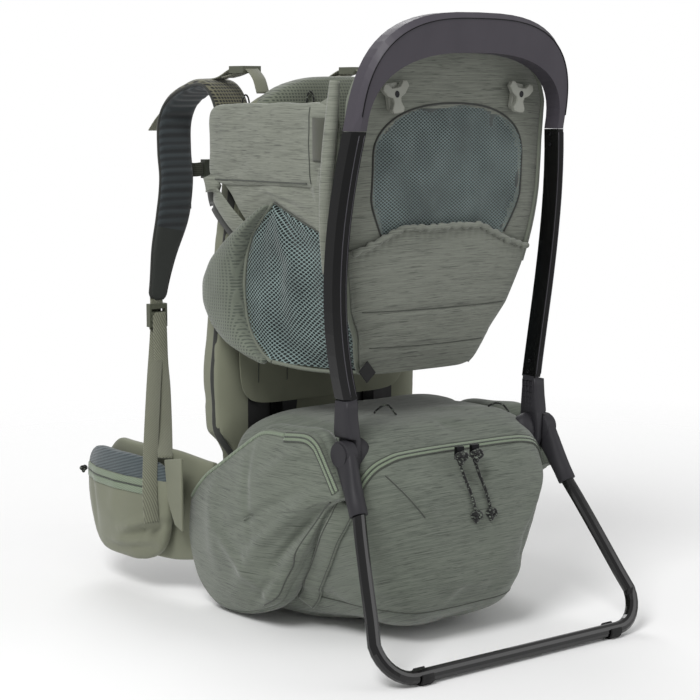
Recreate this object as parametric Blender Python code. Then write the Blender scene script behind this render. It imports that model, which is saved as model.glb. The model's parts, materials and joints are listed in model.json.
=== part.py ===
"""Baby carrier backpack: a framed child carrier standing on its fold-out stand.

Metres, +Z up, +Y towards the wearer, +X to the wearer's right.
Everything is drawn in the carrier frame, whose Y = 0 is the rear face of the rails at their lower
seam, and hangs on one empty that brings the footprint's centre to the world origin.
"""

import math

import bmesh
import bpy
from mathutils import Matrix, Vector

# ---- driving dimensions: the frame ----
GAP = 0.0003                # between pieces that touch
CLEAR = 0.002               # between soft pieces and their neighbours
HALF_WIDTH = 0.139          # centre to a rail's inner face, at the lower seam
RAIL_SPLAY = 0.008          # how much wider the rails stand at the upper seam
RAIL_BOW = 0.015            # how far they bow outwards between the seams
RAIL_WIDTH = 0.016
RAIL_DEPTH = 0.024
RAIL_CHAMFER = 0.007
RAIL_LENGTH = 0.310         # seam to seam, along Z
RAIL_LEAN = 0.026           # rearward offset of the upper seam
RAIL_FORWARD = 0.007        # forward sag of the rails half way up
ARCH_RISE = 0.1285          # top seam to the top of the face
ARCH_FACE = 0.039           # height of the grip face at the centre
ARCH_SLOPE = 0.215          # rearward lean per unit of height
INNER_POWER = 2.6           # how square the arch's inner and outer curves are
OUTER_POWER = 2.9
HOUSING_RISE = 0.063        # pivot to the lower seam
PIVOT_Y = 0.003
PIVOT_Z = 0.242
HEAD_RADIUS = 0.0165
PLATE = 0.010               # thickness of the housing's inner plate at the pivot
PIN_RADIUS = 0.004
PIN_CLEAR = 0.0004
CAP_RADIUS = 0.0145
CAP_THICK = 0.0016
SHOULDER_RISE = 0.004       # knuckle's head to the housing's shoulder
BOSS_HEIGHT = 0.034         # of the lug that carries the base frame

# ---- the fold-out stand ----
TUBE_RADIUS = 0.008
STAND_REACH = 0.1357        # pivot to crossbar, rearward, when open
STAND_SPLAY = 0.036         # how much further out the legs stand at the floor
CORNER_RADIUS = 0.042
KNUCKLE_DROP = 0.065        # pivot to the end of the tube socket
SOCKET_DEPTH = 0.018
SOCKET_WALL = 0.003
FOOT_X = 0.148
FOOT_LENGTH = 0.016
FOOT_WALL = 0.0024
FOOT_SOLE = 0.0015

# ---- the back frame and its cover ----
DEPTH = 0.262               # rear of the rails to the frame sheet
SHEET_THICK = 0.002
SHEET_HEIGHT = 0.600
STAY_X = 0.075
STAY_WIDTH = 0.018
STAY_THICK = 0.003
BASE_TUBE_RADIUS = 0.006
BACK_PAD_THICK = 0.044
BACK_PAD_HEIGHT = 0.655

# ---- the shoulder harness ----
YOKE_HALF_WIDTH = 0.095
YOKE_THICK = 0.012
PAD_X = 0.088               # centre to the middle of a shoulder pad
PAD_WIDTH = 0.054
PAD_THICK = 0.015
PAD_REACH = 0.174           # how far the pads stand in front of the back pad
STERNUM_Z = 0.552
WEB_WIDTH = 0.020
WEB_THICK = 0.0018
BUCKLE_THICK = 0.009
BUCKLE_WIDTH = 0.028
LIFTER_HALF = 0.016         # half the length of a load lifter's buckle
LIFTER_SLOTS = (-0.008, 0.006)
LOCK_HEIGHT = 0.032
LOCK_SLOTS = (0.007, 0.015, 0.023)
CHEST_BUCKLE = (0.034, 0.012, 0.026)    # socket: length, thickness, height
CHEST_TONGUE = 0.0205
CHEST_WEB = 0.019

# ---- the hip belt ----
WING_THICK = 0.018
WING_HEIGHT = 0.150
WING_BASE = 0.045
WING_REACH = 0.275          # frame sheet to the front end of a wing
POCKET_BULGE = 0.026
POUCH_START = 4             # first point of the wing's centre line that carries its pouch
HIP_BUCKLE = (0.057, 0.014, 0.046)      # length, thickness, height
HIP_BUCKLE_INSET = 0.018    # from the wing's front end
HIP_MOUTH = (0.032, 0.003, 0.032)       # depth, wall, height
HIP_PRONG = (0.022, 0.0055, 0.0175)     # notch: depth, half height, height off the middle

# ---- the cockpit ----
PANEL_THICK = 0.016
HOOK_X = 0.095
HOOK_Z = 0.654
BAND_THICK = 0.012
BAND_BASE = 0.550
BAND_HEIGHT = 0.092
MESH_THICK = 0.006
SADDLE_Z = 0.345
SADDLE_THICK = 0.022
HARNESS_Z = 0.483           # height of the harness's release button
FRONT_PAD_HEIGHT = 0.080

# ---- the bag ----
BAG_HALF_WIDTH = 0.117
BAG_TOP = 0.262
BAG_BULGE = 0.036           # how far the rear panel stands behind the rails' rear face
POCKET_OUT = 0.062          # how far a side pocket stands out from the base tube
ZIP_X = -0.0095             # middle of the two sliders, which were left off centre
SLIDER_X = 0.0118           # half their spacing
ZIP_Z = 0.236
CORD_RADIUS = 0.0020
# from a cord's top, in its body: sideways, along Y, down
CORD_ROUTE = [
    (0.0, 0.0, 0.0), (0.0, 0.0, 0.003), (0.001, -0.0010, 0.007), (0.003, -0.0025, 0.014),
    (0.006, -0.003, 0.022), (0.010, -0.0035, 0.030), (0.0135, -0.004, 0.038),
    (0.017, -0.004, 0.046), (0.020, -0.004, 0.054), (0.0225, -0.004, 0.061),
    (0.0245, -0.004, 0.068),
]

# ---- shape tables ----
# housing, from the seam down: share of the height, inward, wider, deeper, set back
HOUSING_LEVELS = [
    (0.0, 0.0, 0.0, 0.0, 0.0), (0.46, 0.001, 0.001, 0.002, 0.001),
    (1.0, 0.001, 0.003, 0.006, 0.003),
]
# knuckle, from the pivot to the socket's end: share, half width, half depth (0: the socket), power
NECK_STATIONS = [(0.0, 0.0075, 0.0155, 3.5), (0.35, 0.0085, 0.0125, 3.0), (0.62, 0.0, 0.0, 2.2),
                 (1.0, 0.0, 0.0, 2.2)]
# back pad: height, how much wider than the bag's half width, share of the thickness
BACK_PAD_LEVELS = [
    (0.0, -0.017, 0.55), (0.03, 0.008, 0.8), (0.10, 0.017, 1.0), (0.205, 0.019, 1.0),
    (0.225, 0.046, 1.0), (0.30, 0.048, 1.0), (0.42, 0.036, 1.0), (0.52, 0.020, 1.0),
    (0.60, 0.008, 0.95), (BACK_PAD_HEIGHT - 0.015, -0.012, 0.8), (BACK_PAD_HEIGHT, -0.035, 0.5),
]
# yoke: height, share of its half width
YOKE_LEVELS = [(0.50, 0.6), (0.53, 0.9), (0.60, 1.0), (0.632, 0.8)]
# shoulder pad, from the yoke to the tip: outwards, forwards of the back pad, height
PAD_KNOTS = [
    (0.0, 0.026, 0.585), (0.0, 0.032, 0.640), (0.0, 0.060, 0.668), (0.0, 0.105, 0.665),
    (0.0, PAD_REACH - 0.024, 0.648), (0.0, PAD_REACH - 0.002, 0.620), (0.0, PAD_REACH, 0.580),
    (0.0, PAD_REACH - 0.004, 0.540), (0.004, PAD_REACH, 0.492), (0.014, PAD_REACH + 0.008, 0.440),
    (0.024, PAD_REACH + 0.012, 0.375),
]
# shoulder webbing, from its ladder lock down: outwards, along Y from the pad's tip, height
WEBBING_KNOTS = [(0.012, -0.020, 0.285), (0.036, -0.060, 0.240)]
WEBBING_ANCHOR = (0.062, 0.075)         # outwards of the tip, forwards of the back pad
# hip wing: outwards, forwards of the frame sheet
WING_KNOTS = [(0.150, 0.024), (0.160, 0.062), (0.178, 0.130), (0.182, 0.200), (0.170, WING_REACH)]
# seat back: height above its low end or (second table) above the upper seam, half width
SEAT_LOW_LEVELS = [(0.0, 0.075), (0.022, 0.094), (0.078, 0.112), (0.148, 0.131), (0.228, 0.141)]
SEAT_TOP_LEVELS = [(-0.015, 0.142), (0.020, 0.144), (0.040, 0.146), (0.060, 0.136),
                   (0.078, 0.118), (0.090, 0.096), (0.097, 0.072)]
# saddle, from the seat back forwards: along Y, half width, height
SADDLE_STATIONS = [(0.0, 0.085, 0.045), (0.05, 0.080, 0.010), (0.10, 0.055, 0.0),
                   (0.14, 0.050, 0.012)]
SADDLE_FRONT = (0.055, 0.040)           # half width and height at the back frame
# front pad: share of its height, half width, thickness
FRONT_PAD_LEVELS = [(0.0, 0.100, 0.030), (0.15, 0.112, 0.042), (0.75, 0.116, 0.044),
                    (0.95, 0.106, 0.034), (1.0, 0.096, 0.020)]
# leg mesh: height, how far it reaches forwards of the rail
LEG_MESH_LEVELS = [(0.300, 0.040), (0.335, 0.130), (0.420, 0.120), (0.500, 0.118),
                   (BAND_BASE - CLEAR, 0.128)]
# thigh pad: height, forwards of the rail, half length, half thickness
THIGH_LEVELS = [(0.335, 0.168, 0.020, 0.006), (0.365, 0.180, 0.036, 0.013),
                (0.420, 0.190, 0.050, 0.018), (0.480, 0.188, 0.044, 0.014),
                (0.525, 0.180, 0.030, 0.008), (BAND_BASE - CLEAR, 0.176, 0.022, 0.005)]
# chest pad: height, half width
CHEST_LEVELS = [(0.44, 0.030), (0.455, 0.048), (0.49, 0.055), (0.515, 0.045), (0.525, 0.030)]
# bag: Y, floor height, drop of the top, how much narrower than the half width
BAG_STATIONS = [
    (-BAG_BULGE, 0.100, 0.052, 0.042), (0.008 - BAG_BULGE, 0.065, 0.026, 0.017),
    (0.024 - BAG_BULGE, 0.047, 0.010, 0.004), (0.046 - BAG_BULGE, 0.038, 0.001, 0.0),
    (0.12, 0.022, 0.0, 0.0), (0.20, 0.012, 0.004, 0.0),
]
BAG_END = [(-0.014, 0.008, 0.014, 0.002), (0.0, 0.014, 0.024, 0.010)]   # Y from the bag's front
# side pocket: Y, low, high, how far its inner face is moved out, inset of its outer face
POCKET_STATIONS = [
    (0.022, 0.070, 0.208, 0.0, 0.038), (0.040, 0.048, 0.230, 0.0, 0.014),
    (0.080, 0.034, 0.244, 0.0, 0.004), (0.150, 0.022, 0.244, 0.0, 0.0),
    (0.205, 0.010, 0.222, 0.0, 0.002),
]
POCKET_CORNER = (-0.010, 0.006, 0.205, 0.004, 0.006)                    # Y from the bag's front
POCKET_FRONT = [(0.0, 0.008, 0.190, 0.0335, 0.008), (0.035, 0.022, 0.160, 0.0355, 0.010),
                (0.060, 0.050, 0.125, 0.041, 0.014)]                    # Y from the frame sheet

# ---- derived places ----
SEAM_LOW = PIVOT_Z + HOUSING_RISE
SEAM_TOP = SEAM_LOW + RAIL_LENGTH
SHEET_Y = DEPTH
PAD_REAR = SHEET_Y + SHEET_THICK + GAP
PAD_FRONT = PAD_REAR + BACK_PAD_THICK
BASE_TUBE_X = BAG_HALF_WIDTH + CLEAR + BASE_TUBE_RADIUS
POCKET_IN = BASE_TUBE_X + BASE_TUBE_RADIUS + CLEAR
PLATE_LOW = PIVOT_Z - HEAD_RADIUS - 0.008
BOSS_LOW = PLATE_LOW + 0.001
BAR_Z = TUBE_RADIUS + GAP + FOOT_SOLE
CROSSBAR_Y = PIVOT_Y - STAND_REACH
FRONT_END = SHEET_Y + WING_REACH + 0.0044
REAR_END = CROSSBAR_Y - TUBE_RADIUS - GAP - FOOT_WALL
CENTRE_Y = (FRONT_END + REAR_END) / 2
SIDES = {"left": -1.0, "right": 1.0}
ACROSS = Vector((1, 0, 0))
ALONG = Vector((0, 1, 0))
UP = Vector((0, 0, 1))

MATERIALS = {
    "handle_plastic": ((0.092, 0.082, 0.101), 0.55, 0.0),
    "rail_aluminium": ((0.005, 0.005, 0.006), 0.28, 0.6),
    "hinge_plastic": ((0.040, 0.038, 0.042), 0.55, 0.0),
    "tube_gloss": ((0.004, 0.004, 0.005), 0.12, 0.7),
    "steel_pin": ((0.45, 0.45, 0.47), 0.30, 1.0),
    "foot_rubber": ((0.012, 0.012, 0.013), 0.75, 0.0),
    "frame_steel": ((0.03, 0.03, 0.035), 0.40, 0.8),
    "sheet_plastic": ((0.02, 0.02, 0.02), 0.60, 0.0),
    "heather_fabric": ((0.195, 0.212, 0.176), 0.85, 0.0),
    "bag_fabric": ((0.150, 0.165, 0.140), 0.85, 0.0),
    "olive_fabric": ((0.270, 0.280, 0.205), 0.80, 0.0),
    "teal_mesh": ((0.150, 0.215, 0.205), 0.90, 0.0),
    "strap_mesh": ((0.032, 0.035, 0.036), 0.90, 0.0),
    "webbing": ((0.235, 0.250, 0.190), 0.80, 0.0),
    "hook_plastic": ((0.330, 0.340, 0.300), 0.50, 0.0),
    "buckle_plastic": ((0.080, 0.090, 0.070), 0.50, 0.0),
    "cord_black": ((0.020, 0.020, 0.020), 0.85, 0.0),
}


# ---- scene helpers ----
def clear_scene():
    for obj in list(bpy.data.objects):
        bpy.data.objects.remove(obj, do_unlink=True)


def material(slot):
    found = bpy.data.materials.get(slot)
    if found:
        return found
    colour, roughness, metallic = MATERIALS[slot]
    made = bpy.data.materials.new(slot)
    made.use_nodes = True
    shader = made.node_tree.nodes["Principled BSDF"]
    shader.inputs["Base Color"].default_value = (*colour, 1.0)
    shader.inputs["Roughness"].default_value = roughness
    shader.inputs["Metallic"].default_value = metallic
    return made


def empty(name, place, parent=None):
    """An empty on a joint's axis; place is in the carrier frame."""
    obj = bpy.data.objects.new(name, None)
    bpy.context.scene.collection.objects.link(obj)
    obj["place"] = place
    obj.parent = parent
    origin = Vector(parent["place"]) if parent else Vector((0, 0, 0))
    obj.location = Vector(place) - origin
    return obj


def finish(bm, name, slot, parent, smooth=40):
    """Writes a bmesh drawn in the carrier frame as a named object under parent."""
    bmesh.ops.remove_doubles(bm, verts=bm.verts, dist=1e-6)
    bmesh.ops.recalc_face_normals(bm, faces=bm.faces)
    mesh = bpy.data.meshes.new(name)
    bm.to_mesh(mesh)
    bm.free()
    mesh.transform(Matrix.Translation(-Vector(parent["place"])))
    mesh.shade_smooth()
    mesh.set_sharp_from_angle(angle=math.radians(smooth))
    mesh.materials.append(material(slot))
    obj = bpy.data.objects.new(name, mesh)
    obj.parent = parent
    bpy.context.scene.collection.objects.link(obj)
    return obj


# ---- shape helpers ----
def smoothstep(a, b, x):
    t = min(max((x - a) / (b - a), 0.0), 1.0)
    return t * t * (3 - 2 * t)


def oval(centre, u, v, half_u, half_v, power, count=20):
    """A ring of points: a superellipse round centre in the plane of unit vectors u and v."""
    ring = []
    for k in range(count):
        a = 2 * math.pi * (k + 0.5) / count
        c, s = math.cos(a), math.sin(a)
        x = half_u * math.copysign(abs(c) ** (2 / power), c)
        y = half_v * math.copysign(abs(s) ** (2 / power), s)
        ring.append(centre + u * x + v * y)
    return ring


def loft(rings):
    """A closed body through rings of equal length, with flat ends."""
    bm = bmesh.new()
    made = [[bm.verts.new(p) for p in ring] for ring in rings]
    count = len(rings[0])
    for a, b in zip(made, made[1:]):
        for k in range(count):
            m = (k + 1) % count
            bm.faces.new((a[k], a[m], b[m], b[k]))
    bm.faces.new(made[0][::-1])
    bm.faces.new(made[-1])
    return bm


def curve_points(knots, steps):
    """A smooth curve through the knots (Catmull-Rom), steps points for each stretch."""
    pts = [Vector(k) for k in knots]
    pts = [2 * pts[0] - pts[1]] + pts + [2 * pts[-1] - pts[-2]]
    out = []
    for i in range(1, len(pts) - 2):
        p0, p1, p2, p3 = pts[i - 1:i + 3]
        for s in range(steps):
            t = s / steps
            out.append(0.5 * (2 * p1 + (p2 - p0) * t + (2 * p0 - 5 * p1 + 4 * p2 - p3) * t * t
                              + (3 * p1 - p0 - 3 * p2 + p3) * t ** 3))
    out.append(pts[-2])
    return out


def tangents(points):
    out = []
    for i in range(len(points)):
        a = points[max(i - 1, 0)]
        b = points[min(i + 1, len(points) - 1)]
        out.append((b - a).normalized())
    return out


def strip(points, side, width, thick, power=8, count=8):
    """A flat strap along points: side is its width direction."""
    rings = []
    for p, t in zip(points, tangents(points)):
        across = (side - t * side.dot(t)).normalized()
        normal = t.cross(across).normalized()
        rings.append(oval(p, across, normal, width / 2, thick / 2, power, count))
    return loft(rings)


def round_tube(points, radius, count=12):
    """A round tube along points, carried along without twist."""
    rings = []
    ts = tangents(points)
    u = ts[0].orthogonal().normalized()
    for p, t in zip(points, ts):
        u = (u - t * u.dot(t)).normalized()
        rings.append(oval(p, u, t.cross(u).normalized(), radius, radius, 2, count))
    return loft(rings)


def disc(centre, axis, radius, thick, count=24):
    """A cylinder centred at centre."""
    axis = axis.normalized()
    u = axis.orthogonal().normalized()
    v = axis.cross(u)
    ends = (centre - axis * thick / 2, centre + axis * thick / 2)
    return loft([oval(c, u, v, radius, radius, 2, count) for c in ends])


def block(low, high):
    """An upright box between two corners."""
    bm = bmesh.new()
    bmesh.ops.create_cube(bm, size=1.0)
    low, high = Vector(low), Vector(high)
    middle, size = (low + high) / 2, high - low
    for v in bm.verts:
        v.co = Vector(v.co[i] * size[i] + middle[i] for i in range(3))
    return bm


def side_block(side, low, high):
    """An upright box between two corners given for the right side, on either side."""
    xs = sorted((side * low[0], side * high[0]))
    return block((xs[0], low[1], low[2]), (xs[1], high[1], high[2]))


def cut(target, bm, name, operation="DIFFERENCE"):
    """Cuts (or joins) a bmesh drawn in the carrier frame out of (or to) target."""
    cutter = finish(bm, name, "sheet_plastic", bpy.data.objects["carrier"])
    cutter.parent = None
    cutter.matrix_world = Matrix.Identity(4)
    cutter.data.transform(Matrix.Translation(Vector((0, -CENTRE_Y, 0))))
    cutter.hide_render = True
    cutter.display_type = "WIRE"
    step = target.modifiers.new(name, "BOOLEAN")
    step.operation = operation
    step.solver = "EXACT"
    step.object = cutter


# ---- the rails and the arch ----
def rail_inner(z):
    """Inner rear corner (x, y) of a rail at height z."""
    t = (z - SEAM_LOW) / RAIL_LENGTH
    arc = 4 * t * (1 - t)
    x = HALF_WIDTH + RAIL_SPLAY * t + RAIL_BOW * arc
    y = -RAIL_LEAN * t ** 1.6 + RAIL_FORWARD * arc * (1 - t)
    return x, y


def rail_section(x, y, z, side, width=RAIL_WIDTH, depth=RAIL_DEPTH):
    """The extrusion's outline at height z: a rectangle with its outer rear corner cut off."""
    c = RAIL_CHAMFER
    outline = [(0, 0), (width - c, 0), (width, c), (width, depth), (0, depth)]
    return [Vector((side * (x + a), y + b, z)) for a, b in outline]


def build_rail(label, side, parent):
    rings = []
    steps = 12
    for i in range(steps + 1):
        z = SEAM_LOW + GAP + (RAIL_LENGTH - 2 * GAP) * i / steps
        x, y = rail_inner(z)
        rings.append(rail_section(x, y, z, side))
    finish(loft(rings), "rail_" + label, "rail_aluminium", parent, 30)


def arch_edge(half_x, rise, power, angle):
    """A point of the arch's edge curve: angle 0 at the right seam, pi at the left seam."""
    c, s = math.cos(angle), math.sin(angle)
    x = half_x * math.copysign(abs(c) ** (2 / power), c)
    return x, SEAM_TOP + rise * abs(s) ** (2 / power)


def build_arch(parent):
    inner_x = HALF_WIDTH + RAIL_SPLAY
    outer_x = inner_x + RAIL_WIDTH - RAIL_CHAMFER
    rings = []
    steps = 32
    for i in range(steps + 1):
        angle = math.pi * i / steps
        xi, zi = arch_edge(inner_x, ARCH_RISE - ARCH_FACE, INNER_POWER, angle)
        xo, zo = arch_edge(outer_x, ARCH_RISE, OUTER_POWER, angle)
        out = Vector((xo - xi, 0, zo - zi)).normalized()
        yi = -RAIL_LEAN - ARCH_SLOPE * (zi - SEAM_TOP)
        yo = -RAIL_LEAN - ARCH_SLOPE * (zo - SEAM_TOP)
        inner, outer = Vector((xi, yi, zi)), Vector((xo, yo, zo))
        rim = outer + out * RAIL_CHAMFER + Vector((0, RAIL_CHAMFER, 0))
        front_out = outer + out * RAIL_CHAMFER + Vector((0, RAIL_DEPTH, 0))
        front_in = inner + Vector((0, RAIL_DEPTH, 0))
        rings.append([inner, outer, rim, front_out, front_in])
    for ring in (rings[0], rings[-1]):
        for p in ring:
            p.z = SEAM_TOP + GAP
    finish(loft(rings), "handle_arch", "handle_plastic", parent, 30)


# ---- the hinges and the stand ----
def build_hinge(label, side, frame, stand):
    x_in, y_rear = rail_inner(SEAM_LOW)
    plate_in = HALF_WIDTH - 0.001
    plate_out = plate_in + PLATE
    pivot = Vector((side * (plate_in + plate_out) / 2, PIVOT_Y, PIVOT_Z))
    # housing: a block under the rail that thins to a round plate beside the knuckle
    rings = []
    shoulder = PIVOT_Z + HEAD_RADIUS + SHOULDER_RISE
    top_z = SEAM_LOW - GAP
    for share, inward, wider, deeper, back in HOUSING_LEVELS:
        z = top_z + (shoulder - top_z) * share
        width, depth = RAIL_WIDTH + wider, RAIL_DEPTH + deeper
        rings.append(rail_section(x_in - inward, y_rear - back, z, side, width, depth))
    housing = finish(loft(rings), "hinge_housing_" + label, "hinge_plastic", frame, 30)
    plate = side_block(side, (plate_in, y_rear - 0.001, PLATE_LOW),
                       (plate_out, y_rear + RAIL_DEPTH + 0.001, shoulder + 0.003))
    cut(housing, plate, "guide_plate_" + label, "UNION")
    boss = side_block(side, (BASE_TUBE_X - BASE_TUBE_RADIUS - 0.001, y_rear + 0.003, BOSS_LOW),
                      (plate_in + 0.004, y_rear + RAIL_DEPTH - 0.001, BOSS_LOW + BOSS_HEIGHT))
    cut(housing, boss, "guide_boss_" + label, "UNION")
    bore = disc(pivot, ACROSS, PIN_RADIUS + PIN_CLEAR, PLATE * 1.6)
    cut(housing, bore, "cutter_housing_bore_" + label)
    # pin: through the plate and the knuckle's head
    head_in = plate_out + GAP
    head_out = head_in + RAIL_WIDTH
    pin_in, pin_out = plate_in + 0.001, head_out - 0.001
    pin_centre = Vector((side * (pin_in + pin_out) / 2, PIVOT_Y, PIVOT_Z))
    pin = disc(pin_centre, ACROSS, PIN_RADIUS, pin_out - pin_in, 20)
    finish(pin, "hinge_pin_" + label, "steel_pin", frame)
    # knuckle: a round head that runs down into the tube socket
    head_centre = Vector((side * (head_in + head_out) / 2, PIVOT_Y, PIVOT_Z))
    head = disc(head_centre, ACROSS, HEAD_RADIUS, head_out - head_in, 32)
    knuckle = finish(head, "stand_knuckle_" + label, "hinge_plastic", stand, 35)
    top, down = leg_top(side)
    outwards = Vector((side, 0, 0))
    across = (outwards - down * outwards.dot(down)).normalized()
    other = down.cross(across).normalized()
    neck = []
    for share, half_w, half_d, power in NECK_STATIONS:
        centre = head_centre.lerp(top, share)
        socket = TUBE_RADIUS + SOCKET_WALL
        neck.append(oval(centre, across, other, half_w or socket, half_d or socket, power, 20))
    cut(knuckle, loft(neck), "guide_neck_" + label, "UNION")
    hole_end = top + down * 0.002
    hole_start = top - down * (SOCKET_DEPTH + GAP)
    hole_radius = TUBE_RADIUS + GAP
    hole = [oval(c, across, other, hole_radius, hole_radius, 2, 20) for c in (hole_start, hole_end)]
    cut(knuckle, loft(hole), "cutter_socket_" + label)
    bore = disc(head_centre, ACROSS, PIN_RADIUS + PIN_CLEAR, RAIL_WIDTH * 1.2)
    cut(knuckle, bore, "cutter_knuckle_bore_" + label)
    recess_depth = 0.016
    recess_centre = Vector((side * (head_out + recess_depth / 2), PIVOT_Y, PIVOT_Z))
    recess = disc(recess_centre, ACROSS, CAP_RADIUS + 2 * GAP, recess_depth, 28)
    cut(knuckle, recess, "cutter_cap_" + label)
    cap_centre = Vector((side * (head_out + GAP + CAP_THICK / 2), PIVOT_Y, PIVOT_Z))
    cap = disc(cap_centre, ACROSS, CAP_RADIUS, CAP_THICK, 28)
    finish(cap, "pivot_cap_" + label, "hinge_plastic", stand)


def leg_top(side):
    """Where a leg leaves its socket, and the leg's downward direction there."""
    x = HALF_WIDTH - 0.001 + PLATE + GAP + RAIL_WIDTH / 2 + 0.008
    slope = STAND_REACH / (PIVOT_Z - BAR_Z)
    z = PIVOT_Z - KNUCKLE_DROP
    top = Vector((side * x, PIVOT_Y - slope * KNUCKLE_DROP, z))
    down = Vector((side * STAND_SPLAY * 0.45, -STAND_REACH, BAR_Z - PIVOT_Z)).normalized()
    return top, down


def build_stand_tube(stand):
    """Both legs and the crossbar, one bent tube."""
    half = []
    top, down = leg_top(1.0)
    start = top - down * SOCKET_DEPTH
    floor_x = top.x + STAND_SPLAY
    rise = PIVOT_Z - BAR_Z
    slope = STAND_REACH / rise

    def on_plane(x, z):
        return Vector((x, PIVOT_Y - slope * (PIVOT_Z - z), z))

    corner_low = on_plane(floor_x - CORNER_RADIUS, BAR_Z)
    leg_low = on_plane(floor_x - 0.001, BAR_Z + CORNER_RADIUS * 0.9)
    half += [start, top]
    for i in range(1, 6):
        t = i / 6
        z = top.z + (leg_low.z - top.z) * t
        x = top.x + (leg_low.x - top.x) * t ** 0.92
        half.append(on_plane(x, z))
    for i in range(9):
        a = math.pi / 2 * i / 8
        along = Vector((math.cos(a), 0, 1 - math.sin(a)))
        x = corner_low.x + CORNER_RADIUS * along.x
        z = BAR_Z + CORNER_RADIUS * 0.9 * along.z
        half.append(on_plane(x, z))
    points = half + [Vector((0.05, corner_low.y, BAR_Z))]
    points += [Vector((-p.x, p.y, p.z)) for p in reversed(points)]
    finish(round_tube(points, TUBE_RADIUS), "stand_tube", "tube_gloss", stand, 60)
    return corner_low.y


def build_foot(label, side, stand, bar_y):
    """A rubber clip round the underside of the crossbar, with a flat sole."""
    centre = Vector((side * FOOT_X, bar_y, BAR_Z))
    inner = TUBE_RADIUS + 2 * GAP
    outer = TUBE_RADIUS + 2 * GAP + FOOT_WALL
    count = 14
    first = math.radians(-205)
    sweep = math.radians(250)
    outline = []
    for radius, order in ((inner, range(count + 1)), (outer, range(count, -1, -1))):
        for k in order:
            a = first + sweep * k / count
            outline.append((math.cos(a) * radius, max(math.sin(a) * radius, -BAR_Z)))
    ends = (-FOOT_LENGTH / 2, FOOT_LENGTH / 2)
    rows = [[centre + Vector((x, y, z)) for y, z in outline] for x in ends]
    bm = bmesh.new()
    near, far = [[bm.verts.new(p) for p in row] for row in rows]
    total = len(outline)
    for k in range(total):
        m = (k + 1) % total
        bm.faces.new((near[k], near[m], far[m], far[k]))
    for row in (near, far):
        for k in range(count):
            bm.faces.new((row[k], row[k + 1], row[total - 2 - k], row[total - 1 - k]))
    finish(bm, "stand_foot_" + label, "foot_rubber", stand)


# ---- the base and back frame ----
def build_base_frame(frame):
    """A bent tube from one hinge housing round the front to the other."""
    z = BOSS_LOW + BOSS_HEIGHT / 2
    y0 = RAIL_DEPTH - 0.001 + GAP
    y1 = SHEET_Y - STAY_THICK - BASE_TUBE_RADIUS - 2 * GAP
    bend = 0.03
    points = [Vector((BASE_TUBE_X, y0, z)), Vector((BASE_TUBE_X, (y0 + y1) / 2, z))]
    for i in range(7):
        a = math.pi / 2 * i / 6
        x = BASE_TUBE_X - bend + bend * math.cos(a)
        points.append(Vector((x, y1 - bend + bend * math.sin(a), z)))
    points += [Vector((-p.x, p.y, p.z)) for p in reversed(points)]
    finish(round_tube(points, BASE_TUBE_RADIUS, 10), "base_frame", "frame_steel", frame, 60)
    return y1 - BASE_TUBE_RADIUS


def build_back_frame(frame):
    sheet = block((-BAG_HALF_WIDTH, SHEET_Y, 0.05),
                  (BAG_HALF_WIDTH, SHEET_Y + SHEET_THICK, SHEET_HEIGHT))
    finish(sheet, "frame_sheet", "sheet_plastic", frame)
    for label, side in SIDES.items():
        stay = side_block(side, (STAY_X - STAY_WIDTH / 2, SHEET_Y - STAY_THICK - GAP, 0.06),
                          (STAY_X + STAY_WIDTH / 2, SHEET_Y - GAP, SHEET_HEIGHT - 0.02))
        finish(stay, "back_stay_" + label, "frame_steel", frame)
    # back pad: from the floor to behind the wearer's shoulders
    rings = []
    for z, wider, share in BACK_PAD_LEVELS:
        depth = BACK_PAD_THICK * share
        middle = Vector((0, PAD_REAR + depth / 2, z))
        rings.append(oval(middle, ACROSS, ALONG, BAG_HALF_WIDTH + wider, depth / 2, 5, 24))
    finish(loft(rings), "back_pad", "olive_fabric", frame)


# ---- the shoulder harness ----
def pad_path(side):
    """Centre line of a shoulder pad, from the yoke over the shoulder to its lower tip."""
    return [Vector((side * (PAD_X + a), PAD_FRONT + b, c)) for a, b, c in PAD_KNOTS]


def build_torso(torso):
    y0 = PAD_FRONT + CLEAR
    rings = []
    for z, share in YOKE_LEVELS:
        middle = Vector((0, y0 + YOKE_THICK / 2, z))
        rings.append(oval(middle, ACROSS, ALONG, YOKE_HALF_WIDTH * share, YOKE_THICK / 2, 4, 20))
    finish(loft(rings), "torso_yoke", "olive_fabric", torso)
    for label, side in SIDES.items():
        path = curve_points(pad_path(side), 2)
        pad = strip(path, ACROSS, PAD_WIDTH, PAD_THICK, 5, 12)
        finish(pad, "shoulder_pad_" + label, "strap_mesh", torso)
        build_pad_hardware(label, side, torso, path)


def lifter_z():
    """Height of the load lifters' buckles, just above the pads' crown."""
    return max(p.z for p in pad_path(1.0)) + PAD_THICK / 2 + 0.008


def build_lifter(label, side, frame):
    """The load lifter's webbing, from the back frame's top to its buckle."""
    x = side * PAD_X
    y = PAD_FRONT
    z = lifter_z() + BUCKLE_THICK / 2
    knots = [Vector((x, y - 0.042, BACK_PAD_HEIGHT + 0.004)), Vector((x, y - 0.032, z - 0.010)),
             Vector((x, y - 0.018, z))]
    web = strip(curve_points(knots, 3), ACROSS, WEB_WIDTH, WEB_THICK)
    finish(web, "lifter_strap_" + label, "webbing", frame)


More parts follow.
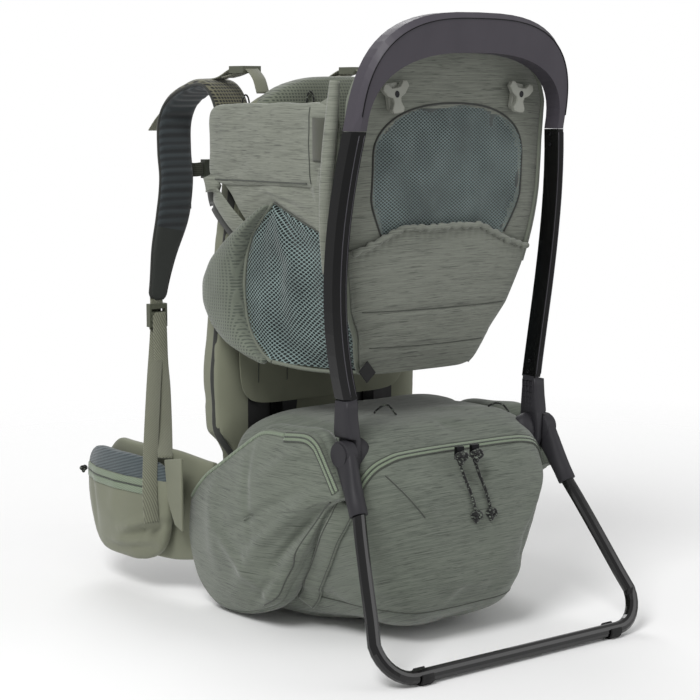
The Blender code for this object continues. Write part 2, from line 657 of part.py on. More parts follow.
def build_pad_hardware(label, side, torso, path):
    """The load lifter's buckle over a pad and the ladder lock at its tip."""
    x = side * PAD_X
    y = PAD_FRONT - 0.001
    z = lifter_z()
    half, slot_half = BUCKLE_WIDTH / 2, WEB_WIDTH / 2 + 0.001
    body = block((x - half, y - LIFTER_HALF, z), (x + half, y + LIFTER_HALF, z + BUCKLE_THICK))
    buckle = finish(body, "lifter_buckle_" + label, "buckle_plastic", torso)
    for k, shift in enumerate(LIFTER_SLOTS):
        slot = block((x - slot_half, y + shift - 0.003, z - 0.01),
                     (x + slot_half, y + shift + 0.003, z + BUCKLE_THICK + 0.01))
        cut(buckle, slot, f"cutter_lifter_{label}_{k}")
    x, y, z = path[-1]
    z -= 2 * CLEAR
    body = block((x - half, y - BUCKLE_THICK / 2, z - LOCK_HEIGHT), (x + half, y + BUCKLE_THICK / 2, z))
    lock = finish(body, "ladder_lock_" + label, "buckle_plastic", torso)
    for k, drop in enumerate(LOCK_SLOTS):
        slot = block((x - slot_half, y - BUCKLE_THICK, z - drop - 0.004),
                     (x + slot_half, y + BUCKLE_THICK, z - drop))
        cut(lock, slot, f"cutter_ladder_{label}_{k}")


def build_shoulder_webbing(frame):
    """The webbing from each hip anchor up to its ladder lock."""
    anchor_z = WING_BASE + WING_HEIGHT + 0.006
    for label, side in SIDES.items():
        tip = pad_path(side)[-1]
        knots = [Vector((tip.x, tip.y, tip.z - LOCK_HEIGHT - 3 * CLEAR))]
        knots += [Vector((tip.x + side * a, tip.y + b, z)) for a, b, z in WEBBING_KNOTS]
        out, forward = WEBBING_ANCHOR
        knots.append(Vector((tip.x + side * out, PAD_FRONT + forward, anchor_z)))
        web = strip(curve_points(knots, 3), Vector((1, 0.3 * side, 0)), WEB_WIDTH, WEB_THICK)
        finish(web, "shoulder_webbing_" + label, "webbing", frame)


def build_sternum(torso, male):
    """The chest strap's buckle: the socket stays on the left half, the plug pulls off to the right."""
    at = min(curve_points(pad_path(1.0)[4:], 3), key=lambda p: abs(p.z - STERNUM_Z))
    length, thick, height = CHEST_BUCKLE
    y, z = at.y + (PAD_THICK + thick) / 2 + CLEAR, at.z
    wall = 0.0022
    half_t, half_h = thick / 2, height / 2
    body = block((-length, y - half_t, z - half_h), (0.0, y + half_t, z + half_h))
    socket = finish(body, "sternum_buckle_socket", "buckle_plastic", torso)
    mouth = block((-CHEST_TONGUE - 0.0015, y - half_t + wall, z - half_h + wall + 0.0013),
                  (0.002, y + half_t - wall, z + half_h - wall - 0.0013))
    cut(socket, mouth, "cutter_sternum_mouth")
    body = block((GAP, y - half_t, z - half_h), (0.022, y + half_t, z + half_h))
    plug = finish(body, "sternum_buckle_plug", "buckle_plastic", male)
    tongue = block((-CHEST_TONGUE, y - half_t + wall + 2 * GAP, z - half_h + wall + 0.002),
                   (0.004, y + half_t - wall - 2 * GAP, z + half_h - wall - 0.002))
    cut(plug, tongue, "guide_sternum_tongue", "UNION")
    reach = PAD_X - PAD_WIDTH / 2 - CLEAR
    for name, side, start, body in (("left", -1.0, length, torso), ("right", 1.0, 0.022, male)):
        points = [Vector((side * x, y, z)) for x in (start + GAP, start + 0.012, reach)]
        web = strip(points, UP, CHEST_WEB, WEB_THICK)
        finish(web, "sternum_strap_" + name, "webbing", body)


# ---- the hip belt ----
def wing_path(side):
    """Centre line (x, y) of a hip wing, from the back pad forwards."""
    return [Vector((side * x, SHEET_Y + b, 0)) for x, b in WING_KNOTS]


def wing_side(points, offset, side):
    """The path moved outwards by offset."""
    out = []
    for p, t in zip(points, tangents(points)):
        out.append(p + Vector((t.y, -t.x, 0)) * side * offset)
    return out


def build_hip(label, side, wing):
    path = curve_points(wing_path(side), 3)
    count = len(path) - 1
    rings = []
    for i, (p, t) in enumerate(zip(path, tangents(path))):
        s = i / count
        share = 1 - 0.42 * smoothstep(0.72, 1.0, s) - 0.12 * (1 - smoothstep(0.0, 0.3, s))
        height = WING_HEIGHT * share
        middle = Vector((p.x, p.y, WING_BASE + WING_HEIGHT / 2))
        normal = Vector((t.y, -t.x, 0)).normalized()
        rings.append(oval(middle, UP, normal, height / 2, WING_THICK / 2, 5, 16))
    finish(loft(rings), "hip_wing_" + label, "olive_fabric", wing)
    span = path[POUCH_START:]
    offset = (WING_THICK + CLEAR + POCKET_BULGE) / 2
    out = wing_side(path, offset, side)[POUCH_START:]
    rings = []
    for i, p in enumerate(out):
        s = i / (len(out) - 1)
        swell = max(math.sin(math.pi * (0.12 + 0.76 * s)), 0.3) ** 0.5
        t = tangents(span)[i]
        normal = Vector((t.y, -t.x, 0)).normalized() * side
        thick = POCKET_BULGE * swell
        centre = p - normal * (POCKET_BULGE - thick) / 2
        middle = Vector((centre.x, centre.y, WING_BASE + WING_HEIGHT * 0.46))
        half = WING_HEIGHT * 0.49 * swell
        rings.append(oval(middle, UP, normal, half, thick / 2, 3, 16))
    finish(loft(rings), "hip_pocket_" + label, "olive_fabric", wing)


def build_hip_buckle(left, right):
    """The hip buckle's halves, undone, each on a short web inside its wing's front end."""
    length, thick, height = HIP_BUCKLE
    inner = WING_THICK / 2 + 0.006
    z = WING_BASE + WING_HEIGHT / 2
    for label, side, wing in (("socket", -1.0, left), ("plug", 1.0, right)):
        end = wing_path(side)[-1]
        x = sorted((end.x - side * inner, end.x - side * (inner + thick)))
        y = end.y - HIP_BUCKLE_INSET - length
        body = block((x[0], y, z - height / 2), (x[1], y + length, z + height / 2))
        half = finish(body, "hip_buckle_" + label, "buckle_plastic", wing)
        if label == "socket":
            depth, wall, tall = HIP_MOUTH
            mouth = block((x[0] + wall, y - 0.002, z - tall / 2), (x[1] - wall, y + depth, z + tall / 2))
            cut(half, mouth, "cutter_hip_mouth")
            continue
        depth, tall, off = HIP_PRONG
        for k, middle in enumerate((z - off, z + off)):
            notch = block((x[0] - 0.002, y - 0.002, middle - tall),
                          (x[1] + 0.002, y + depth, middle + tall))
            cut(half, notch, f"cutter_hip_prong_{k}")


# ---- the cockpit ----
def panel_rear(z):
    """Rear face Y of the seat back panel at height z: it follows the rails, then leans out to the seat."""
    low = SADDLE_Z - 0.023
    if z > HOOK_Z - 0.054:
        return 0.003 - 0.10 * (z - HOOK_Z + 0.054)
    t = (HOOK_Z - 0.054 - z) / (HOOK_Z - 0.054 - low)
    return 0.003 + 0.059 * t ** 1.9


def build_seat_back(frame):
    low = SADDLE_Z - 0.023
    levels = [(low + rise, half) for rise, half in SEAT_LOW_LEVELS]
    levels += [(SEAM_TOP + rise, half) for rise, half in SEAT_TOP_LEVELS]
    rings = []
    for z, half in levels:
        half += HALF_WIDTH - 0.139
        middle = Vector((0, panel_rear(z) + PANEL_THICK / 2, z))
        rings.append(oval(middle, ACROSS, ALONG, half, PANEL_THICK / 2, 6, 20))
    finish(loft(rings), "seat_back", "heather_fabric", frame)


def build_saddle(saddle):
    """The seat a child straddles: a narrow sling, raised and lowered on its strap."""
    rings = []
    y0 = panel_rear(SADDLE_Z + 0.05) + PANEL_THICK + 0.012
    y1 = SHEET_Y - STAY_THICK - 0.006
    stations = [(y0 + y, half, rise) for y, half, rise in SADDLE_STATIONS]
    for y, half, rise in stations + [(y1, *SADDLE_FRONT)]:
        middle = Vector((0, y, SADDLE_Z + rise))
        rings.append(oval(middle, ACROSS, UP, half, SADDLE_THICK / 2, 5, 16))
    finish(loft(rings), "seat_saddle", "heather_fabric", saddle)


def build_front_pad(frame):
    y = SHEET_Y - 0.027
    rings = []
    for share, half, thick in FRONT_PAD_LEVELS:
        middle = Vector((0, y, SHEET_HEIGHT + FRONT_PAD_HEIGHT * share))
        rings.append(oval(middle, ACROSS, ALONG, half, thick / 2, 4, 20))
    finish(loft(rings), "front_pad", "heather_fabric", frame)


def band_x():
    return HALF_WIDTH + 0.005


def build_cockpit_side(label, side, frame):
    """The band along the top of the cockpit, the gathered mesh below it and the thigh pad."""
    y0 = RAIL_DEPTH + 0.005
    y1 = PAD_REAR + 0.016
    x0 = band_x()
    rings = []
    stations = [(y0, 0.0), (y0 + 0.01, 0.0), ((y0 + y1) / 2, 0.003), (y1 - 0.02, 0.006), (y1, 0.010)]
    for y, drop in stations:
        middle = Vector((side * (x0 + BAND_THICK / 2), y, BAND_BASE + BAND_HEIGHT / 2 + drop / 2))
        rings.append(oval(middle, ACROSS, UP, BAND_THICK / 2, (BAND_HEIGHT - drop) / 2, 6, 16))
    finish(loft(rings), "side_band_" + label, "heather_fabric", frame)
    rings = []
    for z, reach in LEG_MESH_LEVELS:
        middle = Vector((side * (x0 - 0.002), y0 + reach / 2 + 0.002, z))
        rings.append(oval(middle, ACROSS, ALONG, MESH_THICK / 2, reach / 2, 6, 12))
    finish(loft(rings), "leg_mesh_" + label, "teal_mesh", frame)
    rings = []
    for z, y, half_y, half_x in THIGH_LEVELS:
        middle = Vector((side * (x0 + 0.008), y0 + y, z))
        rings.append(oval(middle, ACROSS, ALONG, half_x, half_y, 3, 16))
    finish(loft(rings), "thigh_pad_" + label, "teal_mesh", frame)


def build_hook(label, side, frame):
    """A hook for the sunshade: a foot plate with a waisted bar that stands off it."""
    x = side * HOOK_X
    y = panel_rear(HOOK_Z + 0.016) - GAP
    foot = finish(block((x - 0.009, y - 0.0035, HOOK_Z - 0.016), (x + 0.009, y, HOOK_Z + 0.016)),
                  "sunshade_hook_" + label, "hook_plastic", frame)
    arm = block((x - 0.0045, y - 0.008, HOOK_Z - 0.004), (x + 0.0045, y - 0.002, HOOK_Z + 0.004))
    cut(foot, arm, "guide_hook_arm_" + label, "UNION")
    bar = block((x - 0.012, y - 0.0105, HOOK_Z - 0.0055), (x + 0.012, y - 0.0070, HOOK_Z + 0.0055))
    cut(foot, bar, "guide_hook_bar_" + label, "UNION")


def build_harness(frame):
    """The child's harness: a chest pad with its release button, in front of the seat back."""
    y = panel_rear(0.48) + PANEL_THICK + 0.020
    rings = []
    for z, half in CHEST_LEVELS:
        rings.append(oval(Vector((0, y, z)), ACROSS, ALONG, half, 0.006, 5, 16))
    finish(loft(rings), "harness_chest_pad", "heather_fabric", frame)
    button = disc(Vector((0, y + 0.006 + GAP + 0.004, HARNESS_Z)), ALONG, 0.013, 0.008, 20)
    finish(button, "harness_button", "buckle_plastic", frame)


# ---- the bag ----
def build_bag(frame, front):
    rings = []
    for y, low, drop, narrower in BAG_STATIONS + [(front + y, *rest) for y, *rest in BAG_END]:
        high = BAG_TOP - drop
        middle = Vector((0, y, (low + high) / 2))
        wide = BAG_HALF_WIDTH - narrower
        rings.append(oval(middle, ACROSS, UP, wide, (high - low) / 2, 5, 24))
    finish(loft(rings), "bag_main", "bag_fabric", frame)
    corner_y, *corner = POCKET_CORNER
    stations = POCKET_STATIONS + [(front + corner_y, *corner)]
    stations += [(SHEET_Y + y, *rest) for y, *rest in POCKET_FRONT]
    for label, side in SIDES.items():
        rings = []
        for y, low, high, inner, inset in stations:
            near, far = POCKET_IN + inner, POCKET_IN + POCKET_OUT - inset
            middle = Vector((side * (near + far) / 2, y, (low + high) / 2))
            rings.append(oval(middle, ACROSS, UP, (far - near) / 2, (high - low) / 2, 3.5, 16))
        finish(loft(rings), "side_pocket_" + label, "bag_fabric", frame)


def build_slider(label, side, body):
    """A zip slider on the rear panel, with its pull cord hanging down the panel."""
    y1 = -BAG_BULGE + 0.012
    x = ZIP_X + side * SLIDER_X
    slider = block((x - 0.0055, y1 - 0.022, ZIP_Z - 0.008), (x + 0.0055, y1 - 0.017, ZIP_Z + 0.007))
    finish(slider, "zip_slider_" + label, "buckle_plastic", body)
    data = bpy.data.curves.new("zip_cord_" + label, "CURVE")
    data.dimensions = "3D"
    data.bevel_depth = CORD_RADIUS
    data.bevel_resolution = 2
    data.use_fill_caps = True
    line = data.splines.new("POLY")
    top = (x, y1 - 0.0195, ZIP_Z - 0.008 - 2 * GAP)
    points = curve_points([(top[0] + a, top[1] + b, top[2] - c) for a, b, c in CORD_ROUTE], 2)
    origin = Vector(body["place"])
    line.points.add(len(points) - 1)
    for p, q in zip(line.points, points):
        p.co = (*(q - origin), 1.0)
    data.materials.append(material("cord_black"))
    obj = bpy.data.objects.new("zip_cord_" + label, data)
    obj.parent = body
    bpy.context.scene.collection.objects.link(obj)


def build():
    clear_scene()
    carrier = empty("carrier", (0, 0, 0))
    carrier.location = (0, -CENTRE_Y, 0)
    stand = empty("stand_axis", (0, PIVOT_Y, PIVOT_Z), carrier)
    torso = empty("torso_slide", (0, PAD_FRONT, 0.50), carrier)
    male = empty("sternum_release", (0, PAD_FRONT + PAD_REACH, STERNUM_Z), torso)
    saddle = empty("saddle_slide", (0, 0.15, SADDLE_Z), carrier)
    wings, sliders = {}, {}
    for label, side in SIDES.items():
        wing_place = (side * WING_KNOTS[0][0], SHEET_Y + 0.020, WING_BASE)
        wings[label] = empty("wing_axis_" + label, wing_place, carrier)
        slider_place = (ZIP_X + side * SLIDER_X, -BAG_BULGE, ZIP_Z)
        sliders[label] = empty("slider_path_" + label, slider_place, carrier)
    build_arch(carrier)
    bar_y = build_stand_tube(stand)
    front = build_base_frame(carrier) - CLEAR
    build_back_frame(carrier)
    build_torso(torso)
    build_shoulder_webbing(carrier)
    build_sternum(torso, male)
    build_seat_back(carrier)
    build_saddle(saddle)
    build_front_pad(carrier)
    build_harness(carrier)
    build_bag(carrier, front)
    build_hip_buckle(wings["left"], wings["right"])
    for label, side in SIDES.items():
        build_rail(label, side, carrier)
        build_hinge(label, side, carrier, stand)
        build_foot(label, side, stand, bar_y)
        build_hip(label, side, wings[label])
        build_cockpit_side(label, side, carrier)
        build_hook(label, side, carrier)
        build_lifter(label, side, carrier)
        build_slider(label, side, sliders[label])


build()
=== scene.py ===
"""Looks of the baby carrier backpack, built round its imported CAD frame.

Metres. Every shape is drawn in the carrier frame, whose Y = 0 is the rear face of the rails at
their lower seam; at() turns it into the row frame. Paired pieces are drawn on the wearer's left
(x < 0) and mirrored.
"""

import json
import math

import bmesh
import bpy
import numpy as np
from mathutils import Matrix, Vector, noise
from mathutils.bvhtree import BVHTree


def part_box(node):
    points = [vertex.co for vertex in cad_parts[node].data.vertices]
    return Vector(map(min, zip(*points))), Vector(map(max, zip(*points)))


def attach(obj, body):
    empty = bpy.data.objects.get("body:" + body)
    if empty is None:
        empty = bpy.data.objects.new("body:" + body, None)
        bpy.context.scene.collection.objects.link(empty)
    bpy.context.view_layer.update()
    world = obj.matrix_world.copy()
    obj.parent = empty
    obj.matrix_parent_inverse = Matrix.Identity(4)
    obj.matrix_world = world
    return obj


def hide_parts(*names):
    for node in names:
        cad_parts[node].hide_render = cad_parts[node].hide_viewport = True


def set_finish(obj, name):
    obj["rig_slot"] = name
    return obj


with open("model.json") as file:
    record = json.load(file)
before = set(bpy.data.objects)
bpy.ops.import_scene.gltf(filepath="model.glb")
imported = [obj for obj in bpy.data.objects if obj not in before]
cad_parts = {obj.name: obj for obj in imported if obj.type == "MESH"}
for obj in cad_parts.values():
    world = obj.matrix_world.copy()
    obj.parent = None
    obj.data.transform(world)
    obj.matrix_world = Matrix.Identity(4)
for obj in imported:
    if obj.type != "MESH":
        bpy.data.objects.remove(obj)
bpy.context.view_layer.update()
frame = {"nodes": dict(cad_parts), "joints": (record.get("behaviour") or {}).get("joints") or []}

# ---- places read from the frame ----
JOINTS = {j["name"]: j for j in frame["joints"]}
PIVOT_Y = 0.003
ROW_Y = JOINTS["stand_fold"]["pos_m"][1] - PIVOT_Y
# sign of x on each side
SIDES = {"left": -1.0, "right": 1.0}
SEAM_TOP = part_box("rail_left")[1].z
SEAM_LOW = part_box("rail_left")[0].z
PAD_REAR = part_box("back_pad")[0].y - ROW_Y
PAD_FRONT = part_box("back_pad")[1].y - ROW_Y
BACK_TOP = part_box("back_pad")[1].z
BAG_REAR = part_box("bag_main")[0].y - ROW_Y


def at(x, y, z):
    """A carrier frame point in the row frame."""
    return Vector((x, y + ROW_Y, z))


# ---- camera, floor and light ----
CAMERA_AT = (-1.41, -1.671, 0.658)
CAMERA_HEADING = 37.0
CAMERA_PITCH = 7.98
CAMERA_LENS = 94.2
AMBIENT = 0.50              # even light from all round
BACKDROP = 1.0              # the studio wall as the camera sees it
LIGHTS = [("key", (-1.9, -1.1, 2.5), 1.3, 58), ("fill", (1.9, -2.2, 1.2), 1.8, 12),
          ("back", (0.9, 2.2, 2.2), 1.6, 26)]
LIGHT_LEVEL = 0.76          # painted tone for a given tone on the screen under these lights


def build_stage():
    data = bpy.data.cameras.new("camera")
    data.lens = CAMERA_LENS
    data.sensor_width = 36
    camera = bpy.data.objects.new("camera", data)
    camera.location = at(*CAMERA_AT)
    camera.rotation_euler = (math.radians(90 - CAMERA_PITCH), 0, math.radians(-CAMERA_HEADING))
    bpy.context.scene.collection.objects.link(camera)
    bpy.context.scene.camera = camera
    bpy.ops.mesh.primitive_circle_add(vertices=96, radius=60, fill_type="NGON")
    floor = bpy.context.object
    floor.name = "floor"
    floor.data.materials.append(floor_material())
    world = bpy.context.scene.world or bpy.data.worlds.new("world")
    bpy.context.scene.world = world
    world.use_nodes = True
    tree = world.node_tree
    tree.nodes["Background"].inputs["Color"].default_value = (1.0, 1.0, 1.0, 1.0)
    seen = tree.nodes.new("ShaderNodeLightPath").outputs["Is Camera Ray"]
    level = tree.nodes.new("ShaderNodeMapRange")
    level.inputs["To Min"].default_value = AMBIENT
    level.inputs["To Max"].default_value = BACKDROP
    tree.links.new(seen, level.inputs["Value"])
    tree.links.new(level.outputs[0], tree.nodes["Background"].inputs["Strength"])
    for name, place, size, watts in LIGHTS:
        area_light(name, place, size, watts)
    bpy.context.scene.view_settings.view_transform = "Standard"


def area_light(name, place, size, watts):
    data = bpy.data.lights.new(name, "AREA")
    data.shape = "DISK"
    data.size = size
    data.energy = watts
    light = bpy.data.objects.new(name, data)
    light.location = place
    aim = Vector((0, 0, 0.38)) - Vector(place)
    light.rotation_euler = aim.to_track_quat("-Z", "Y").to_euler()
    bpy.context.scene.collection.objects.link(light)


# ---- material helpers ----
def srgb(r, g, b):
    """A colour given in screen values, 0 to 255, as linear values."""
    out = []
    for c in (r, g, b):
        c /= 255
        out.append(LIGHT_LEVEL * (c / 12.92 if c <= 0.04045 else ((c + 0.055) / 1.055) ** 2.4))
    return (*out, 1.0)


class Paint:
    """A Principled material with short calls for its procedural nodes."""

    def __init__(self, name, roughness=0.8, metallic=0.0, sheen=0.0, coat=0.0, specular=0.4):
        self.material = bpy.data.materials.new(name)
        self.material.use_nodes = True
        self.tree = self.material.node_tree
        self.shader = self.tree.nodes["Principled BSDF"]
        self.shader.inputs["Roughness"].default_value = roughness
        self.shader.inputs["Metallic"].default_value = metallic
        self.shader.inputs["Sheen Weight"].default_value = sheen
        self.shader.inputs["Sheen Roughness"].default_value = 0.5
        self.shader.inputs["Coat Weight"].default_value = coat
        self.shader.inputs["Specular IOR Level"].default_value = specular
        self.coords = self.node("ShaderNodeTexCoord").outputs["Object"]

    def node(self, kind, **settings):
        made = self.tree.nodes.new(kind)
        for key, value in settings.items():
            setattr(made, key, value)
        return made

    def wire(self, source, socket):
        self.tree.links.new(source, socket)

    def math(self, operation, a, b=None, clamp=False):
        made = self.node("ShaderNodeMath", operation=operation, use_clamp=clamp)
        for socket, value in zip(made.inputs, (a, b)):
            if value is None:
                continue
            if isinstance(value, (int, float)):
                socket.default_value = value
            else:
                self.wire(value, socket)
        return made.outputs[0]

    def scaled(self, scale, turn=(0, 0, 0)):
        """Object coordinates turned, then stretched: features per metre along each axis."""
        source = self.coords
        if any(turn):
            turned = self.node("ShaderNodeMapping")
            turned.inputs["Rotation"].default_value = [math.radians(a) for a in turn]
            self.wire(source, turned.inputs["Vector"])
            source = turned.outputs[0]
        made = self.node("ShaderNodeMapping")
        made.inputs["Scale"].default_value = scale
        self.wire(source, made.inputs["Vector"])
        return made.outputs[0]

    def noise(self, scale, detail=2.0, rough=0.5, turn=(0, 0, 0)):
        made = self.node("ShaderNodeTexNoise")
        made.inputs["Scale"].default_value = 1.0
        made.inputs["Detail"].default_value = detail
        made.inputs["Roughness"].default_value = rough
        self.wire(self.scaled(scale, turn), made.inputs["Vector"])
        return made.outputs["Fac"]

    def spread(self, value, low, high, out_low=0.0, out_high=1.0):
        made = self.node("ShaderNodeMapRange")
        self.wire(value, made.inputs["Value"])
        for key, number in (("From Min", low), ("From Max", high), ("To Min", out_low), ("To Max", out_high)):
            made.inputs[key].default_value = number
        return made.outputs[0]

    def mix(self, factor, a, b):
        made = self.node("ShaderNodeMix", data_type="RGBA")
        self.wire(factor, made.inputs["Factor"])
        for socket, value in ((made.inputs[6], a), (made.inputs[7], b)):
            if isinstance(value, tuple):
                socket.default_value = value
            else:
                self.wire(value, socket)
        return made.outputs[2]

    def colour(self, value):
        if isinstance(value, tuple):
            self.shader.inputs["Base Color"].default_value = value
        else:
            self.wire(value, self.shader.inputs["Base Color"])

    def bump(self, height, strength=0.3, distance=0.001):
        made = self.node("ShaderNodeBump")
        made.inputs["Strength"].default_value = strength
        made.inputs["Distance"].default_value = distance
        self.wire(height, made.inputs["Height"])
        self.wire(made.outputs[0], self.shader.inputs["Normal"])

    def along(self, x=0.0, y=0.0, z=0.0):
        """x, y and z as one running length, each with its own weight."""
        split = self.node("ShaderNodeSeparateXYZ")
        self.wire(self.coords, split.inputs[0])
        total = None
        for weight, output in zip((x, y, z), split.outputs):
            if weight:
                term = self.math("MULTIPLY", output, weight)
                total = term if total is None else self.math("ADD", total, term)
        return total

    def ribs(self, length, pitch):
        """0 to 1 ribs along a running length."""
        turned = self.math("MULTIPLY", length, 2 * math.pi / pitch)
        return self.spread(self.math("SINE", turned), -1, 1)


def floor_material():
    paint = Paint("floor_paper", roughness=0.9)
    tone = paint.noise((3, 3, 3), 2)
    paint.colour(paint.mix(tone, (0.93, 0.93, 0.93, 1), (0.95, 0.95, 0.95, 1)))
    length = paint.node("ShaderNodeVectorMath", operation="LENGTH")
    paint.wire(paint.coords, length.inputs[0])
    paint.wire(paint.spread(length.outputs["Value"], 0.55, 1.7, 1.0, 0.0), paint.shader.inputs["Alpha"])
    return paint.material


def heather(name, light, dark, tilt=20.0, turn_z=0.0):
    """Slub-woven cloth: short level streaks, darker and lighter, over a fine weave."""
    paint = Paint(name, roughness=0.82, sheen=0.25)
    turn = (tilt, 0, turn_z)
    broad = paint.noise((20, 20, 900), 3, 0.65, turn)
    fine = paint.noise((52, 52, 1700), 2, 0.6, turn)
    cloud = paint.noise((9, 9, 14), 2)
    streak = paint.spread(broad, 0.40, 0.60)
    base = paint.mix(streak, dark, light)
    hair = paint.spread(fine, 0.31, 0.42, 0.10, 1.0)
    darker = tuple(c * 0.28 for c in dark[:3]) + (1.0,)
    base = paint.mix(hair, darker, base)
    slub = paint.spread(paint.noise((30, 30, 950), 1, 0.5, (tilt, 0, turn_z + 40)), 0.64, 0.70, 0.0, 0.8)
    base = paint.mix(slub, base, darker)
    lighter = tuple(min(c * 1.12, 1) for c in light[:3]) + (1.0,)
    base = paint.mix(paint.spread(cloud, 0.35, 0.7, 0.0, 0.35), base, lighter)
    paint.colour(base)
    grain = paint.math("ADD", paint.math("MULTIPLY", broad, 1.0), paint.noise((1300, 1300, 2400), 1))
    paint.bump(grain, 0.35, 0.0006)
    return paint.material


def plain_cloth(name, colour, shade=0.86, pitch=900):
    """Tight plain weave with slight random cloudy tone; on the window's backing, with its low shade factor,
    the clouds are painted light and shade.
    """
    paint = Paint(name, roughness=0.78, sheen=0.2)
    darker = tuple(c * shade for c in colour[:3]) + (1.0,)
    cloud = paint.noise((16, 16, 16), 3)
    weave = paint.noise((pitch, pitch, pitch), 2, 0.7)
    base = paint.mix(paint.spread(cloud, 0.3, 0.7), darker, colour)
    base = paint.mix(paint.spread(weave, 0.35, 0.65, 0.0, 0.35), base, darker)
    paint.colour(base)
    paint.bump(weave, 0.25, 0.0005)
    return paint.material


def open_mesh(name, colour, across=(1, 1), pitch=(0.0052, 0.0036), hole=0.34):
    """Knitted mesh with real diamond openings; across weighs x and y into the running width."""
    paint = Paint(name, roughness=0.7, sheen=0.3)
    u = paint.along(across[0] / pitch[0], across[1] / pitch[0])
    v = paint.along(0, 0, 1 / pitch[1])
    one = paint.math("SINE", paint.math("MULTIPLY", paint.math("ADD", u, v), math.pi))
    two = paint.math("SINE", paint.math("MULTIPLY", paint.math("SUBTRACT", u, v), math.pi))
    diamond = paint.math("ABSOLUTE", paint.math("MULTIPLY", one, two))
    solid = paint.spread(diamond, hole, hole + 0.12, 1.0, 0.0)
    paint.wire(solid, paint.shader.inputs["Alpha"])
    darker = tuple(c * 0.6 for c in colour[:3]) + (1.0,)
    tone = paint.noise((20, 20, 20), 2)
    paint.colour(paint.mix(paint.spread(tone, 0.3, 0.7), darker, colour))
    paint.bump(diamond, 0.5, 0.0008)
    return paint.material


def spacer(name, colour, gap, pitch=0.0036, across=(1, 1), dots=0.5, along_z=1.0):
    """Padded spacer knit: a grid of small pits between raised threads."""
    paint = Paint(name, roughness=0.85, sheen=0.3)
    u = paint.ribs(paint.along(across[0], across[1]), pitch)
    v = paint.ribs(paint.along(0, 0, along_z), pitch)
    pit = paint.math("MULTIPLY", u, v)
    mask = paint.spread(pit, dots - 0.18, dots + 0.12)
    tone = paint.noise((24, 24, 24), 2)
    darker = tuple(c * 0.8 for c in colour[:3]) + (1.0,)
    base = paint.mix(paint.spread(tone, 0.3, 0.7), darker, colour)
    paint.colour(paint.mix(mask, base, gap))
    paint.bump(paint.math("SUBTRACT", 1.0, pit), 0.6, 0.0010)
    return paint.material


def ribbed(name, colour, valley, pitch, weights, depth=0.0012, rough=0.85):
    """Cloth with ribs along one running length."""
    paint = Paint(name, roughness=rough, sheen=0.3)
    rib = paint.ribs(paint.along(*weights), pitch)
    weave = paint.noise((1100, 1100, 1100), 1)
    base = paint.mix(paint.spread(rib, 0.1, 0.75), valley, colour)
    darker = tuple(c * 0.7 for c in colour[:3]) + (1.0,)
    base = paint.mix(paint.spread(weave, 0.45, 0.7, 0.0, 0.5), base, darker)
    paint.colour(base)
    paint.bump(paint.math("ADD", rib, paint.math("MULTIPLY", weave, 0.4)), 0.6, depth)
    return paint.material


def moulded(name, colour, roughness=0.5, metallic=0.0, grain=2200, strength=0.12, specular=0.4):
    """Moulded or coated hard surface: fine grain, slight tone and wear in the gloss."""
    paint = Paint(name, roughness=roughness, metallic=metallic, specular=specular)
    tone = paint.noise((11, 11, 11), 3)
    lighter = tuple(min(c * 1.14 + 0.001, 1) for c in colour[:3]) + (1.0,)
    paint.colour(paint.mix(paint.spread(tone, 0.3, 0.7), colour, lighter))
    speck = paint.noise((grain, grain, grain), 2, 0.6)
    smear = paint.noise((45, 45, 12), 3)
    paint.wire(paint.spread(smear, 0.3, 0.7, roughness * 0.85, min(roughness * 1.2, 1)),
               paint.shader.inputs["Roughness"])
    paint.bump(speck, strength, 0.0004)
    return paint.material


def paracord(name):
    """Black cord with a grey-green fleck in its braid."""
    paint = Paint(name, roughness=0.85, sheen=0.2)
    a = paint.ribs(paint.along(0.8, 0.8, 1.0), 0.0042)
    b = paint.ribs(paint.along(0.8, 0.8, -1.0), 0.0042)
    cross = paint.math("MULTIPLY", a, b)
    fleck = paint.spread(paint.noise((330, 330, 260), 1), 0.52, 0.56)
    base = paint.mix(fleck, srgb(24, 26, 26), srgb(120, 128, 116))
    paint.colour(paint.mix(paint.spread(cross, 0.0, 0.3), (0.004, 0.004, 0.004, 1), base))
    paint.bump(cross, 0.6, 0.0006)
    return paint.material


